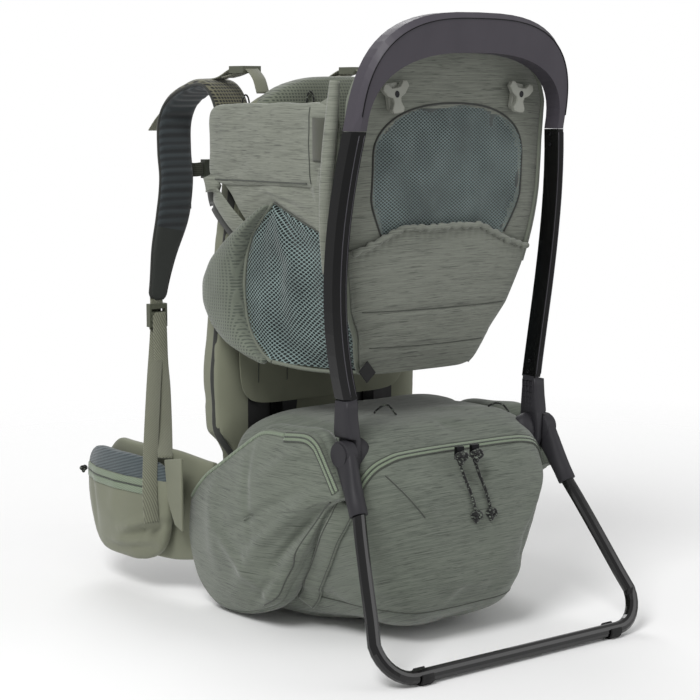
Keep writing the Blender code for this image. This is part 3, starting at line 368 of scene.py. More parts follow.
MAT = {
    "heather": heather("heather_cloth", srgb(139, 143, 132), srgb(116, 120, 110)),
    "heather_side": heather("heather_side_cloth", srgb(147, 151, 138), srgb(124, 128, 116), 0.0),
    "bag": heather("bag_cloth", srgb(122, 129, 117), srgb(100, 107, 97)),
    "bag_side": heather("bag_side_cloth", srgb(124, 131, 118), srgb(102, 109, 98), 0.0),
    "olive": plain_cloth("olive_cloth", srgb(140, 143, 122)),
    "lining": plain_cloth("lining_cloth", srgb(58, 66, 66), 0.5),
    # strong light and dark clouds on the cloth seen through the window net: painted shade of the folds behind
    # it
    "net_backing_painted_shade": plain_cloth("net_backing_painted_shade_cloth", srgb(104, 112, 110), 0.28),
    "binding": plain_cloth("binding_tape", srgb(58, 60, 56), 0.8, 1500),
    "piping": plain_cloth("piping_cord", srgb(132, 138, 124), 0.8, 1500),
    "fleece": plain_cloth("fleece_patch", srgb(92, 94, 82), 0.7, 1800),
    "window": open_mesh("window_mesh", srgb(134, 152, 150), (1, 0), (0.0056, 0.0040), 0.30),
    "leg": open_mesh("leg_mesh", srgb(150, 172, 169), (0, 1), (0.0066, 0.0050), 0.26),
    "thigh": spacer("thigh_knit", srgb(126, 133, 119), srgb(92, 99, 89), 0.0040, (0.4, 1), 0.42),
    "front": spacer("front_knit", srgb(122, 128, 112), srgb(80, 86, 76), 0.0040, (1, 0.4), 0.40),
    "pad_outer": spacer("strap_knit", srgb(120, 118, 96), srgb(26, 27, 26), 0.0042, (1, 0.2), 0.26, 1.0),
    "pad_inner": ribbed("strap_rib", srgb(62, 70, 73), srgb(40, 44, 46), 0.011, (0, 0.6, 1)),
    "pad_tip": plain_cloth("strap_tip_cloth", srgb(58, 62, 58)),
    "back_mesh": spacer("back_knit", srgb(70, 76, 76), srgb(34, 38, 38), 0.0044, (1, 0), 0.4),
    "webbing": ribbed("webbing_ribs", srgb(146, 148, 128), srgb(110, 112, 96), 0.0026, (1, 0.6, 0.2), 0.0005),
    "webbing_dark": ribbed("webbing_dark_ribs", srgb(92, 95, 82), srgb(66, 68, 58), 0.0026, (0, 0, 1),
                           0.0005),
    "zip": ribbed("zip_tape", srgb(150, 164, 140), srgb(128, 142, 120), 0.0016, (1, 0.5, 0.5), 0.0004),
    "coil": ribbed("zip_coil", srgb(84, 94, 80), srgb(44, 50, 42), 0.0012, (1, 0.7, 0.7), 0.0005, 0.6),
    "stitch": plain_cloth("stitch_thread", srgb(84, 88, 80), 0.8, 2500),
    "handle": moulded("handle_plastic_grain", srgb(75, 71, 79), 0.52),
    # lighter grey for the thin lines along the rails' edges: a painted highlight
    "rail_edge_highlight": moulded("rail_edge_painted_highlight", srgb(70, 68, 74), 0.42),
    "rail": moulded("rail_anodised", srgb(11, 11, 12), 0.22, 0.0, 900, 0.02, 0.30),
    "hinge": moulded("hinge_plastic_grain", srgb(50, 49, 53), 0.5, specular=0.3),
    "tube": moulded("tube_gloss_black", srgb(7, 7, 8), 0.10, 0.0, 700, 0.015, 0.55),
    "steel": moulded("pin_steel", srgb(170, 170, 172), 0.3, 1.0, 1500, 0.05),
    "screw": moulded("screw_black", srgb(34, 34, 36), 0.35, 0.8, 1500, 0.05),
    "rubber": moulded("foot_rubber_grain", srgb(26, 26, 27), 0.75, 0.0, 2600, 0.2),
    "sheet": moulded("frame_sheet_plastic", srgb(38, 38, 38), 0.6),
    "hook": moulded("hook_plastic_grain", srgb(156, 158, 148), 0.42),
    "buckle": moulded("buckle_plastic_grain", srgb(98, 101, 86), 0.42),
    "buckle_dark": moulded("buckle_dark_grain", srgb(62, 66, 56), 0.42),
    "cord": paracord("paracord_braid"),
    "tag": plain_cloth("tag_cloth", srgb(22, 22, 23), 0.8, 1800),
}


# ---- mesh helpers ----
def smoothstep(a, b, x):
    t = np.clip((x - a) / (b - a), 0.0, 1.0)
    return t * t * (3 - 2 * t)


def curve(knots, steps=8):
    """A smooth curve through the knots (Catmull-Rom), as row frame points."""
    pts = [at(*k) for k in knots]
    pts = [2 * pts[0] - pts[1]] + pts + [2 * pts[-1] - pts[-2]]
    out = []
    for i in range(1, len(pts) - 2):
        p0, p1, p2, p3 = pts[i - 1:i + 3]
        for s in range(steps):
            t = s / steps
            out.append(0.5 * (2 * p1 + (p2 - p0) * t + (2 * p0 - 5 * p1 + 4 * p2 - p3) * t * t
                              + (3 * p1 - p0 - 3 * p2 + p3) * t ** 3))
    out.append(pts[-2].copy())
    return out


def tangents(points):
    out = []
    for i in range(len(points)):
        a = points[max(i - 1, 0)]
        b = points[min(i + 1, len(points) - 1)]
        out.append((b - a).normalized())
    return out


def piece(name, bm, body, material, slot=None, smooth=True, replaces=(), extra=()):
    """A bmesh in the row frame as a named piece that rides on a body."""
    bmesh.ops.recalc_face_normals(bm, faces=bm.faces)
    mesh = bpy.data.meshes.new(name)
    bm.to_mesh(mesh)
    bm.free()
    if smooth:
        mesh.shade_smooth()
    obj = bpy.data.objects.new(name, mesh)
    bpy.context.scene.collection.objects.link(obj)
    for key in (material, *extra):
        mesh.materials.append(MAT[key])
    if body:
        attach(obj, body)
    if slot:
        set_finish(obj, slot)
    if replaces:
        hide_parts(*replaces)
    return obj


def rings_mesh(rings, caps=True):
    """A closed body through rings of equal length."""
    bm = bmesh.new()
    made = [[bm.verts.new(p) for p in ring] for ring in rings]
    count = len(rings[0])
    for a, b in zip(made, made[1:]):
        for k in range(count):
            m = (k + 1) % count
            bm.faces.new((a[k], a[m], b[m], b[k]))
    if caps:
        bm.faces.new(made[0][::-1])
        bm.faces.new(made[-1])
    return bm


def tube(points, radius, count=8):
    """A round tube along points, closed with flat caps at its ends; radius is a number or a function of the
    share of the way along.
    """
    rings = []
    ts = tangents(points)
    u = ts[0].orthogonal().normalized()
    last = len(points) - 1
    for i, (p, t) in enumerate(zip(points, ts)):
        u = (u - t * u.dot(t)).normalized()
        v = t.cross(u).normalized()
        r = radius(i / last) if callable(radius) else radius
        rings.append([p + (u * math.cos(a) + v * math.sin(a)) * r
                      for a in (2 * math.pi * k / count for k in range(count))])
    return rings_mesh(rings)


def ribbon(points, side, width, thick, round_edge=0.35):
    """A flat strap along points: side is its width direction, or one direction for each point."""
    rings = []
    for i, (p, t) in enumerate(zip(points, tangents(points))):
        across = side[i] if isinstance(side, list) else side
        across = (across - t * across.dot(t)).normalized()
        normal = t.cross(across).normalized()
        w = (width(i / (len(points) - 1)) if callable(width) else width) / 2
        h = thick / 2
        e = min(h * round_edge * 2, w * 0.5)
        outline = [(-w, -h * 0.4), (-w + e, -h), (0, -h), (w - e, -h), (w, -h * 0.4),
                   (w, h * 0.4), (w - e, h), (0, h), (-w + e, h), (-w, h * 0.4)]
        rings.append([p + across * a + normal * b for a, b in outline])
    return rings_mesh(rings)


def cube_grid(cuts):
    """A unit cube of even quads as a bmesh, corners at +-1."""
    bm = bmesh.new()
    bmesh.ops.create_cube(bm, size=2.0)
    bmesh.ops.subdivide_edges(bm, edges=bm.edges, cuts=cuts, use_grid_fill=True)
    return bm


def puff(cuts, power, shape):
    """A rounded box of quads; shape(a, b, c) places a point of it, each from -1 to 1."""
    bm = cube_grid(cuts)
    for v in bm.verts:
        a, b, c = v.co
        norm = (abs(a) ** power + abs(b) ** power + abs(c) ** power) ** (1 / power)
        v.co = shape(a / norm, b / norm, c / norm)
    return bm


def shield(outline, x_edge, bulge, side, back, rows=22, swell=2.2, count=120):
    """A padded panel facing outwards along X, round a closed outline of (y, z) knots."""
    knots = [Vector((0, y, z)) for y, z in outline]
    loop = closed_curve(knots, count)
    middle = sum(loop, Vector()) / len(loop)
    bm = bmesh.new()
    rings = []
    for i in range(rows + 1):
        r = i / rows
        ring = []
        for p in loop:
            q = middle + (p - middle) * r
            x = x_edge + bulge * (1 - r ** swell)
            ring.append(at(side * x, q.y, q.z))
        rings.append(ring)
    for x in (x_edge - 0.004, back):
        rings.append([at(side * x, *(middle + (p - middle) * 1.0).yz) for p in loop])
    made = [[bm.verts.new(p) for p in ring] for ring in rings[1:]]
    pole = bm.verts.new(at(side * (x_edge + bulge), middle.y, middle.z))
    for k in range(count):
        m = (k + 1) % count
        bm.faces.new((pole, made[0][k], made[0][m]))
        for a, b in zip(made, made[1:]):
            bm.faces.new((a[k], b[k], b[m], a[m]))
    bm.faces.new(made[-1])
    return bm


def closed_curve(knots, count):
    """count even points on a smooth closed curve through the knots."""
    n = len(knots)
    fine = []
    for i in range(n):
        p0, p1, p2, p3 = (knots[(i + k) % n] for k in (-1, 0, 1, 2))
        for s in range(12):
            t = s / 12
            fine.append(0.5 * (2 * p1 + (p2 - p0) * t + (2 * p0 - 5 * p1 + 4 * p2 - p3) * t * t
                               + (3 * p1 - p0 - 3 * p2 + p3) * t ** 3))
    return even(fine + [fine[0]], count + 1)[:-1]


def even(points, count):
    """count points at equal lengths along a polyline."""
    pts = np.array([tuple(p) for p in points])
    run = np.concatenate([[0], np.cumsum(np.linalg.norm(np.diff(pts, axis=0), axis=1))])
    want = np.linspace(0, run[-1], count)
    return [Vector(p) for p in np.stack([np.interp(want, run, pts[:, k]) for k in range(3)], 1)]


def push(obj, amount):
    """Moves each vertex along its normal by amount(row frame point in the carrier frame)."""
    mesh = obj.data
    normals = [v.normal.copy() for v in mesh.vertices]
    for v, n in zip(mesh.vertices, normals):
        p = v.co - Vector((0, ROW_Y, 0))
        v.co += n * amount(p, n)
    mesh.update()


def near_line(p, a, b):
    """Distance from p to segment a-b and the share of the way along it."""
    ab = b - a
    t = min(max((p - a).dot(ab) / ab.length_squared, 0.0), 1.0)
    return (p - (a + ab * t)).length, t


def crease(p, a, b, width, height):
    """A fold's height at p: a soft ridge along a-b that fades at both ends."""
    d, t = near_line(p, a, b)
    fade = math.sin(math.pi * min(max(t, 0.04), 0.96)) ** 0.6
    return height * math.exp(-(d / width) ** 2) * fade


def wrinkle(p, scale, height, seed=0.0):
    """Soft uneven relief of cloth."""
    q = Vector((p.x * scale[0], p.y * scale[1], p.z * scale[2] + seed))
    return height * noise.noise(q)


def onto(bvh, origin, direction, lift):
    """The first hit from origin along direction, lifted off the surface, with the normal there."""
    hit, normal, _, _ = bvh.ray_cast(origin, direction)
    if hit is None:
        return None
    if normal.dot(direction) > 0:
        normal = -normal
    return hit + normal * lift, normal


def surface(obj):
    graph = bpy.context.evaluated_depsgraph_get()
    return BVHTree.FromObject(obj, graph)


def laid(obj, knots, axis, lift, count=80):
    """A smooth line of carrier frame knots laid on obj's surface, looking along axis."""
    bvh = surface(obj)
    direction = Vector(axis)
    points, normals = [], []
    for p in even(curve(knots), count):
        found = onto(bvh, p - direction * 0.5, direction, lift)
        if found:
            points.append(found[0])
            normals.append(found[1])
    return points, normals


def seam(name, obj, knots, axis, body, radius=0.0011, material="stitch", lift=0.0, count=80):
    """A thin raised cord or stitch line on a surface."""
    points, _ = laid(obj, knots, axis, lift, count)
    return piece(name, tube(points, radius, 6), body, material)


def inflate(obj, pressure=4.0, cap=0.008, voxel=0.006):
    """Swells a closed form with the cloth solver; each point moves cap at the most."""
    bpy.ops.object.select_all(action="DESELECT")
    obj.select_set(True)
    bpy.context.view_layer.objects.active = obj
    obj.data.remesh_voxel_size = voxel
    bpy.ops.object.voxel_remesh()
    before = np.array([v.co for v in obj.data.vertices])
    cloth = obj.modifiers.new("cloth", "CLOTH")
    cloth.settings.use_pressure = True
    cloth.settings.uniform_pressure_force = pressure
    cloth.settings.effector_weights.gravity = 0
    cloth.settings.quality = 4
    scene = bpy.context.scene
    for number in range(1, 21):
        scene.frame_set(number)
    graph = bpy.context.evaluated_depsgraph_get()
    held = obj.evaluated_get(graph)
    after = np.array([v.co for v in held.data.vertices])
    obj.modifiers.remove(cloth)
    scene.frame_set(1)
    move = after - before
    size = np.linalg.norm(move, axis=1, keepdims=True)
    move *= np.minimum(1.0, cap / np.maximum(size, 1e-9))
    obj.data.vertices.foreach_set("co", (before + move).astype(np.float32).ravel())
    obj.data.update()
    obj.data.shade_smooth()


def smooth_more(obj, levels=1):
    step = obj.modifiers.new("subdivision", "SUBSURF")
    step.levels = levels
    step.render_levels = levels


def mirror_copy(obj, name, body, replaces=()):
    """The same piece on the other side."""
    bm = bmesh.new()
    bm.from_mesh(obj.data)
    for v in bm.verts:
        v.co.x = -v.co.x
    bmesh.ops.reverse_faces(bm, faces=bm.faces)
    mesh = bpy.data.meshes.new(name)
    bm.to_mesh(mesh)
    bm.free()
    mesh.shade_smooth()
    made = bpy.data.objects.new(name, mesh)
    bpy.context.scene.collection.objects.link(made)
    for material in obj.data.materials:
        mesh.materials.append(material)
    for step in obj.modifiers:
        if step.type == "SUBSURF":
            smooth_more(made, step.levels)
        if step.type == "SOLIDIFY":
            solid = made.modifiers.new("thickness", "SOLIDIFY")
            solid.thickness = step.thickness
            solid.offset = step.offset
    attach(made, body)
    if "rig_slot" in obj:
        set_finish(made, obj["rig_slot"])
    if replaces:
        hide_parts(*replaces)
    return made


# ---- hard parts kept from the frame ----
CAD_LOOKS = {
    "rail_": ("rail", 0.0011), "hinge_housing": ("hinge", 0.0012), "hinge_pin": ("steel", 0.0004),
    "base_frame": ("rail", 0.0), "frame_sheet": ("sheet", 0.0004), "back_stay": ("rail", 0.0004),
    "handle_arch": ("handle", 0.0014), "stand_knuckle": ("hinge", 0.0008), "pivot_cap": ("hinge", 0.0005),
    "stand_tube": ("tube", 0.0), "stand_foot": ("rubber", 0.0003), "lifter_buckle": ("buckle", 0.0008),
    "ladder_lock": ("buckle", 0.0008), "sternum_buckle": ("buckle_dark", 0.0008),
    "hip_buckle": ("buckle_dark", 0.0012), "sunshade_hook": ("hook", 0.0012),
    "harness_button": ("buckle_dark", 0.0012), "zip_slider": ("screw", 0.0006),
}


def dress_cad():
    """Gives each rigid CAD node its material and eased edges."""
    for name, node in frame["nodes"].items():
        for key, (look, edge) in CAD_LOOKS.items():
            if name.startswith(key):
                node.data.materials.clear()
                node.data.materials.append(MAT[look])
                if edge:
                    step = node.modifiers.new("eased_edges", "BEVEL")
                    step.width = edge
                    step.segments = 2
                    step.limit_method = "ANGLE"
                    step.angle_limit = math.radians(28)
                    step.harden_normals = True


def rail_inner(z):
    """Inner rear corner of the left rail at height z, measured on the CAD node."""
    mesh = frame["nodes"]["rail_right"].data
    levels = RAIL_LEVELS.setdefault("rows", rail_rows(mesh))
    zs = [row[0] for row in levels]
    return (np.interp(z, zs, [row[1] for row in levels]), np.interp(z, zs, [row[2] for row in levels]))


RAIL_LEVELS = {}


def rail_rows(mesh):
    rows = {}
    for v in mesh.vertices:
        key = round(v.co.z, 3)
        x, y = rows.get(key, (9, 9))
        rows[key] = (min(x, v.co.x), min(y, v.co.y - ROW_Y))
    return sorted((z, x, y) for z, (x, y) in rows.items())


def build_rail_details():
    """Painted highlights as thin lighter grey tubes along each rail's outer and inner rear edges, and the
    small screws on its inner face.
    """
    for label, side in SIDES.items():
        zs = np.linspace(SEAM_LOW + 0.004, SEAM_TOP - 0.004, 28)
        outer = []
        inner = []
        for z in zs:
            x, y = rail_inner(z)
            outer.append(at(side * (x + 0.0092), y - 0.0001, z))
            inner.append(at(side * (x + 0.0016), y - 0.0001, z))
        # each edge line is a thin tube, lighter grey than the black rail: a painted highlight
        bm = tube(outer, 0.0006, 6)
        piece(f"rail_edge_{label}", bm, "frame", "rail_edge_highlight", "rail_aluminium")
        bm = tube(inner, 0.0005, 6)
        piece(f"rail_inner_edge_{label}", bm, "frame", "rail_edge_highlight", "rail_aluminium")
        for number, z in enumerate((SEAM_LOW + 0.006, SEAM_LOW + 0.019, SEAM_TOP - 0.019, SEAM_TOP - 0.006)):
            x, y = rail_inner(z)
            build_screw(f"rail_screw_{label}_{number}", at(side * (x - 0.0004), y + 0.013, z),
                        Vector((-side, 0, 0)))


def build_screw(name, centre, axis, radius=0.0024):
    """A domed screw head with a round socket."""
    u = axis.orthogonal().normalized()
    v = axis.cross(u)

    def ring(r, h, count=24):
        return [centre + axis * h + (u * math.cos(2 * math.pi * k / count) + v
                                     * math.sin(2 * math.pi * k / count)) * r
                for k in range(count)]
    rings = [ring(radius, 0), ring(radius, 0.0004), ring(radius * 0.8, 0.0009), ring(radius * 0.45, 0.001),
             ring(radius * 0.4, 0.0002)]
    piece(name, rings_mesh(rings), "frame", "screw", "steel_pin")


# the arch's rear face: a superellipse that leans rearwards as it rises
ARCH_HALF = 0.1560          # middle to the rear face's outer edge at the seams
ARCH_RISE = 0.1285
ARCH_POWER = 2.9
ARCH_REAR = -0.026
ARCH_SLOPE = 0.215


def build_handle_details():
    """The dark parting line along the outer edge of the grip's rear face."""
    points = []
    for k in range(1, 60):
        c, s = math.cos(math.pi * k / 60), math.sin(math.pi * k / 60)
        x = ARCH_HALF * math.copysign(abs(c) ** (2 / ARCH_POWER), c)
        rise = ARCH_RISE * s ** (2 / ARCH_POWER)
        points.append(at(x, ARCH_REAR - ARCH_SLOPE * rise - 0.0002, SEAM_TOP + rise))
    piece("handle_rim_line", tube(even(points, 160), 0.0007, 6), "frame", "screw", "handle_plastic")


# half outline of a sunshade hook as (x, z)
HOOK_OUTLINE = [(0.0, 0.0105), (0.006, 0.0110), (0.0115, 0.0170), (0.0170, 0.0165), (0.0195, 0.0100),
                (0.0130, 0.0020), (0.0065, -0.0010), (0.0055, -0.0060), (0.0092, -0.0140),
                (0.0075, -0.0185), (0.0, -0.0190)]
HOOK_LEAN = 9.0


def build_hooks():
    """The sunshade hooks: a waisted bar with two ears, on a foot plate sewn to the seat back."""
    for label, side in SIDES.items():
        low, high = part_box("sunshade_hook_" + label)
        middle = (low + high) / 2
        turn = math.radians(HOOK_LEAN) * side
        outline = HOOK_OUTLINE + [(-a, b) for a, b in HOOK_OUTLINE[-2:0:-1]]
        bm = bmesh.new()
        join(bm, plate(outline, middle, turn, low.y - 0.0015, low.y + 0.0050))
        foot = [(a * 0.0085, b * 0.0160) for a,
                b in ((1, 0.8), (0.7, 1), (-0.7, 1), (-1, 0.8), (-1, -0.8), (-0.7, -1),
                                                      (0.7, -1), (1, -0.8))]
        join(bm, plate(foot, middle, turn, low.y + 0.0045, high.y + 0.0010))
        hook = piece(f"shade_hook_{label}", bm, "frame", "hook", "hook_plastic",
                     replaces=("sunshade_hook_" + label,))
        ease(hook, 0.0014)
        eye = [(0.0032 * math.cos(a), 0.0040 * math.sin(a) + 0.003)
               for a in (2 * math.pi * k / 16 for k in range(16))]
        bm = plate(eye, middle, turn, low.y - 0.0018, low.y)
        piece(f"shade_hook_eye_{label}", bm, "frame", "screw", "steel_pin", smooth=False)


def plate(outline, middle, turn, rear, front):
    """A flat body facing the rear: an outline in X and Z turned round middle."""
    c, s = math.cos(turn), math.sin(turn)
    flat = [(middle.x + a * c + b * s, middle.z - a * s + b * c) for a, b in outline]
    return rings_mesh([[Vector((x, y, z)) for x, z in flat] for y in (rear, front)])


def ease(obj, width, segments=3):
    """Rounds a hard piece's edges."""
    step = obj.modifiers.new("eased_edges", "BEVEL")
    step.width = width
    step.segments = segments
    step.limit_method = "ANGLE"
    step.angle_limit = math.radians(28)
    step.harden_normals = True


# hinge housing from the rail's seam down: height, middle x, half width, half depth, middle y, power
HOUSING_RINGS = [(0.3047, 0.1475, 0.0084, 0.0123, 0.0120, 8.0), (0.2950, 0.1474, 0.0090, 0.0130, 0.0120, 6.0),
                 (0.2820, 0.1473, 0.0096, 0.0142, 0.0118, 5.0), (0.2700, 0.1472, 0.0100, 0.0158, 0.0112, 4.5),
                 (0.2630, 0.1470, 0.0099, 0.0168, 0.0106, 4.2), (0.2602, 0.1466, 0.0092, 0.0170, 0.0104, 4.0),
                 (0.2595, 0.1432, 0.0054, 0.0170, 0.0104, 4.0), (0.2450, 0.1431, 0.0053, 0.0172, 0.0104, 4.0),
                 (0.2280, 0.1431, 0.0053, 0.0166, 0.0106, 3.6), (0.2150, 0.1431, 0.0052, 0.0140, 0.0112, 3.2),
                 (0.2090, 0.1431, 0.0048, 0.0090, 0.0118, 2.8)]


def build_housings():
    """Smooth hinge housings: square at the rail, flared to the pivot, a round plate behind the knuckle."""
    count = 40
    for label, side in SIDES.items():
        rings = []
        for z, x, half_w, half_d, y, power in HOUSING_RINGS:
            ring = []
            for k in range(count):
                a = 2 * math.pi * (k + 0.5) / count
                c, sn = math.cos(a), math.sin(a)
                dx = half_w * math.copysign(abs(c) ** (2 / power), c)
                dy = half_d * math.copysign(abs(sn) ** (2 / power), sn)
                slant = 0.004 * (dx / half_w) * (z > 0.304)
                ring.append(at(side * (x + dx), y + dy, z - slant * 0.5))
            rings.append(ring)
        piece(f"housing_shell_{label}", rings_mesh(rings), "frame", "hinge", "hinge_plastic",
              replaces=("hinge_housing_" + label,))
        rings = []
        for x, half_y, half_z in ((0.1400, 0.0150, 0.0250), (0.1330, 0.0148, 0.0245),
                                  (0.1260, 0.0140, 0.0225),
                                  (0.1200, 0.0115, 0.0180), (0.1178, 0.0080, 0.0120)):
            rings.append([at(side * x, 0.0120 + half_y * math.cos(a), 0.2350 + half_z * math.sin(a))
                          for a in (2 * math.pi * k / count for k in range(count))])
        piece(f"housing_lug_{label}", rings_mesh(rings), "frame", "hinge", "hinge_plastic")


# knuckle from its head to the tube socket's end: share of the way, half width, half depth, power
KNUCKLE_RINGS = [(0.0, 0.0080, 0.0163, 3.0), (0.16, 0.0083, 0.0160, 3.0), (0.32, 0.0090, 0.0146, 2.8),
                 (0.48, 0.0098, 0.0130, 2.5), (0.64, 0.0106, 0.0118, 2.2), (0.80, 0.0110, 0.0112, 2.0),
                 (0.985, 0.0110, 0.0111, 2.0), (1.0, 0.0104, 0.0105, 2.0)]
KNUCKLE_HEAD = (0.1563, 0.003, 0.242)
KNUCKLE_END = (0.1643, -0.035, 0.177)


def build_knuckles():
    """The stand's knuckles: a round head with eased rims that tapers into the tube socket."""
    count = 32
    for label, side in SIDES.items():
        head, end = [at(side * x, y, z) for x, y, z in (KNUCKLE_HEAD, KNUCKLE_END)]
        down = (end - head).normalized()
        across = Vector((side, 0, 0))
        across = (across - down * across.dot(down)).normalized()
        other = down.cross(across).normalized()
        rings = []
        for share, half_w, half_d, power in KNUCKLE_RINGS:
            ring = []
            for k in range(count):
                a = 2 * math.pi * (k + 0.5) / count
                c, sn = math.cos(a), math.sin(a)
                ring.append(head.lerp(end, share) + across * half_w * math.copysign(abs(c) ** (2 / power), c)
                            + other * half_d * math.copysign(abs(sn) ** (2 / power), sn))
            rings.append(ring)
        bm = rings_mesh(rings)
        disc = []
        for x, radius in ((-0.0079, 0.0153), (-0.0070, 0.0165), (0.0070, 0.0165), (0.0079, 0.0153)):
            disc.append([head + Vector((side * x, radius * math.cos(a), radius * math.sin(a)))
                         for a in (2 * math.pi * k / 48 for k in range(48))])
        join(bm, rings_mesh(disc))
        knuckle = piece(f"knuckle_shell_{label}", bm, "stand", "hinge", "hinge_plastic",
                        replaces=("stand_knuckle_" + label,))
        knuckle.data.set_sharp_from_angle(angle=math.radians(50))


def build_hinge_ribs():
    """The lattice of ribs on the inner side of each hinge housing."""
    for label, side in SIDES.items():
        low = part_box("hinge_housing_" + label)[0]
        x = side * (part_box("rail_right")[0].x - 0.0010)
        y0, y1 = low.y + 0.006 - ROW_Y, low.y + 0.024 - ROW_Y
        z0, z1 = SEAM_LOW - 0.040, SEAM_LOW - 0.004
        bars = []
        for k in range(6):
            z = z0 + (z1 - z0) * k / 5
            bars.append([at(x, y0, z), at(x, y1, z)])
        for k in range(4):
            y = y0 + (y1 - y0) * k / 3
            bars.append([at(x, y, z0), at(x, y, z1)])
        bm = bmesh.new()
        for a, b in bars:
            part = ribbon([a, a.lerp(b, 0.5), b], Vector((1, 0, 0)), 0.0022, 0.0012)
            join(bm, part)
        piece(f"hinge_ribs_{label}", bm, "frame", "hinge", "hinge_plastic", smooth=False)


def join(bm, part):
    """Adds one bmesh's faces to another."""
    mesh = bpy.data.meshes.new("part")
    part.to_mesh(mesh)
    part.free()
    bm.from_mesh(mesh)
    bpy.data.meshes.remove(mesh)


# ---- the zip pulls' cords ----
CORD_RADIUS = 0.0020
# a pull cord's path from its slider: x, y, distance down
CORD_ROUTE = [(0.0, 0.0, 0.0), (0.0, 0.0, 0.003), (0.001, -0.0010, 0.007), (0.003, -0.0025, 0.014),
              (0.006, -0.003, 0.022), (0.010, -0.0035, 0.030), (0.0135, -0.004, 0.038),
              (0.017, -0.004, 0.046), (0.020, -0.004, 0.054), (0.0225, -0.004, 0.061),
              (0.0245, -0.004, 0.068)]


def knot(name, centre, size, body):
    """An overhand knot: three turns of cord round each other."""
    points = []
    for k in range(64):
        a = 2 * math.pi * k / 64
        points.append(centre + Vector((math.sin(a) + 2 * math.sin(2 * a), -0.9 * math.sin(3 * a),
                                       1.3 * (math.cos(a) - 2 * math.cos(2 * a)) * 0.75)) * size * 0.30)
    bm = bmesh.new()
    join(bm, tube(points + [points[0]], size * 0.42, 8))
    return piece(name, bm, body, "cord", "cord_black")


def build_zip_cords():
    for label in SIDES:
        slider_low, slider_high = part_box("zip_slider_" + label)
        x = (slider_low.x + slider_high.x) / 2
        y = (slider_low.y + slider_high.y) / 2 - ROW_Y
        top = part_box("zip_cord_" + label)[1].z
        knots = [(x + a, y + b, top - c) for a, b, c in CORD_ROUTE]
        line = curve(knots, 4)
        data = bpy.data.curves.new("zip_pull_cord_" + label, "CURVE")
        data.dimensions = "3D"
        data.bevel_depth = CORD_RADIUS
        data.bevel_resolution = 3
        data.use_fill_caps = True
        spline = data.splines.new("POLY")
        spline.points.add(len(line) - 1)
        for p, q in zip(spline.points, line):
            p.co = (*q, 1.0)
        data.materials.append(MAT["cord"])
        obj = bpy.data.objects.new("zip_pull_cord_" + label, data)
        bpy.context.scene.collection.objects.link(obj)
        body = "zip_" + label
        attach(obj, body)
        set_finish(obj, "cord_black")
        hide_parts("zip_cord_" + label)
        end = line[-1] + Vector((0.0006, 0, -0.004))
        top_knot = knot(f"zip_top_knot_{label}", line[0] + Vector((0, -0.0048, 0.0030)), 0.0074, body)
        end_knot = knot(f"zip_end_knot_{label}", end, 0.0068, body)
        tails = bmesh.new()
        for k, (dx, dz) in enumerate(((-0.0022, -0.0085), (0.0026, -0.0078))):
            tail = [end, end + Vector((dx * 0.6, -0.0006, dz * 0.55)), end + Vector((dx, 0.0004 * k, dz))]
            join(tails, tube(tail, 0.0011, 6))
        tail_piece = piece(f"zip_cord_tails_{label}", tails, body, "cord", "cord_black")


# ---- the bag ----
BAG_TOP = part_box("bag_main")[1].z
BAG_HALF = 0.170


def bag_shape(a, b, c):
    """Rounded box to bag: wide at the top rear, drawn in below, its floor rising to the rear."""
    y_mid, y_half = (BAG_REAR + 0.262) / 2, (0.262 - BAG_REAR) / 2
    y = y_mid + b * y_half
    rear = 1 - smoothstep(0.02, 0.20, y)
    low = 0.004 + 0.014 * float(rear)
    high = BAG_TOP - 0.007 * float(1 - smoothstep(-0.03, 0.05, y)) - 0.010 * float(smoothstep(0.18, 0.262, y))
    t = (c + 1) / 2
    z = low + (high - low) * t
    taper = 1 - float(0.30 * (1 - smoothstep(0.0, 0.70, t))) * (0.35 + 0.65 * float(rear))
    taper -= 0.115 * float(1 - smoothstep(-0.02, 0.045, y))
    crown = 0.006 * (1 - a * a) * (1 - c * c) * float(rear)
    return at(a * BAG_HALF * taper, y - crown, z)


# side pocket's outline as (y, z): its upper edge from front to rear, then its lower edge back
POCKET_TOP = [(0.318, 0.140), (0.2851, 0.1721), (0.2445, 0.197), (0.1961, 0.2263), (0.1648, 0.2448),
              (0.140, 0.2535), (0.100, 0.2560), (0.058, 0.2600), (0.040, 0.2560), (0.028, 0.2400),
              (0.0134, 0.2215), (-0.006, 0.1960)]
POCKET_LOW = [(0.006, 0.1880), (0.0232, 0.1743), (0.0500, 0.1400), (0.0742, 0.1036), (0.1000, 0.0700),
              (0.1210, 0.0437), (0.150, 0.0270), (0.200, 0.0110), (0.250, 0.0060), (0.285, 0.0180),
              (0.311, 0.0420), (0.326, 0.0900)]
# folds on the side pocket: from (y, z), to (y, z), width, height (below zero for a hollow)
POCKET_FOLDS = [((0.008, 0.182), (0.140, 0.046), 0.0070, 0.0095),
                ((0.016, 0.186), (0.126, 0.082), 0.0050, -0.0070),
                ((0.024, 0.196), (0.160, 0.096), 0.0085, 0.0065),
                ((0.034, 0.206), (0.200, 0.120), 0.0070, -0.0045),
                ((0.060, 0.120), (0.170, 0.030), 0.0055, -0.0055),
                ((0.110, 0.130), (0.205, 0.036), 0.0120, 0.0045),
                ((0.130, 0.045), (0.235, 0.120), 0.0090, 0.0040),
                ((0.170, 0.235), (0.150, 0.120), 0.0080, -0.0026),
                ((0.056, 0.240), (0.150, 0.190), 0.0090, 0.0042),
                ((0.245, 0.185), (0.235, 0.060), 0.0180, 0.0032)]


def pocket_relief(p, n):
    """Diagonal folds that run from the lower hinge corner down and forwards over the pocket."""
    if abs(n.x) < 0.3:
        return 0.0
    flat = Vector((0, p.y, p.z))
    total = wrinkle(p, (0, 16, 22), 0.0016, 3.1)
    for a, b, width, height in POCKET_FOLDS:
        total += crease(flat, Vector((0, *a)), Vector((0, *b)), width, height)
    return total


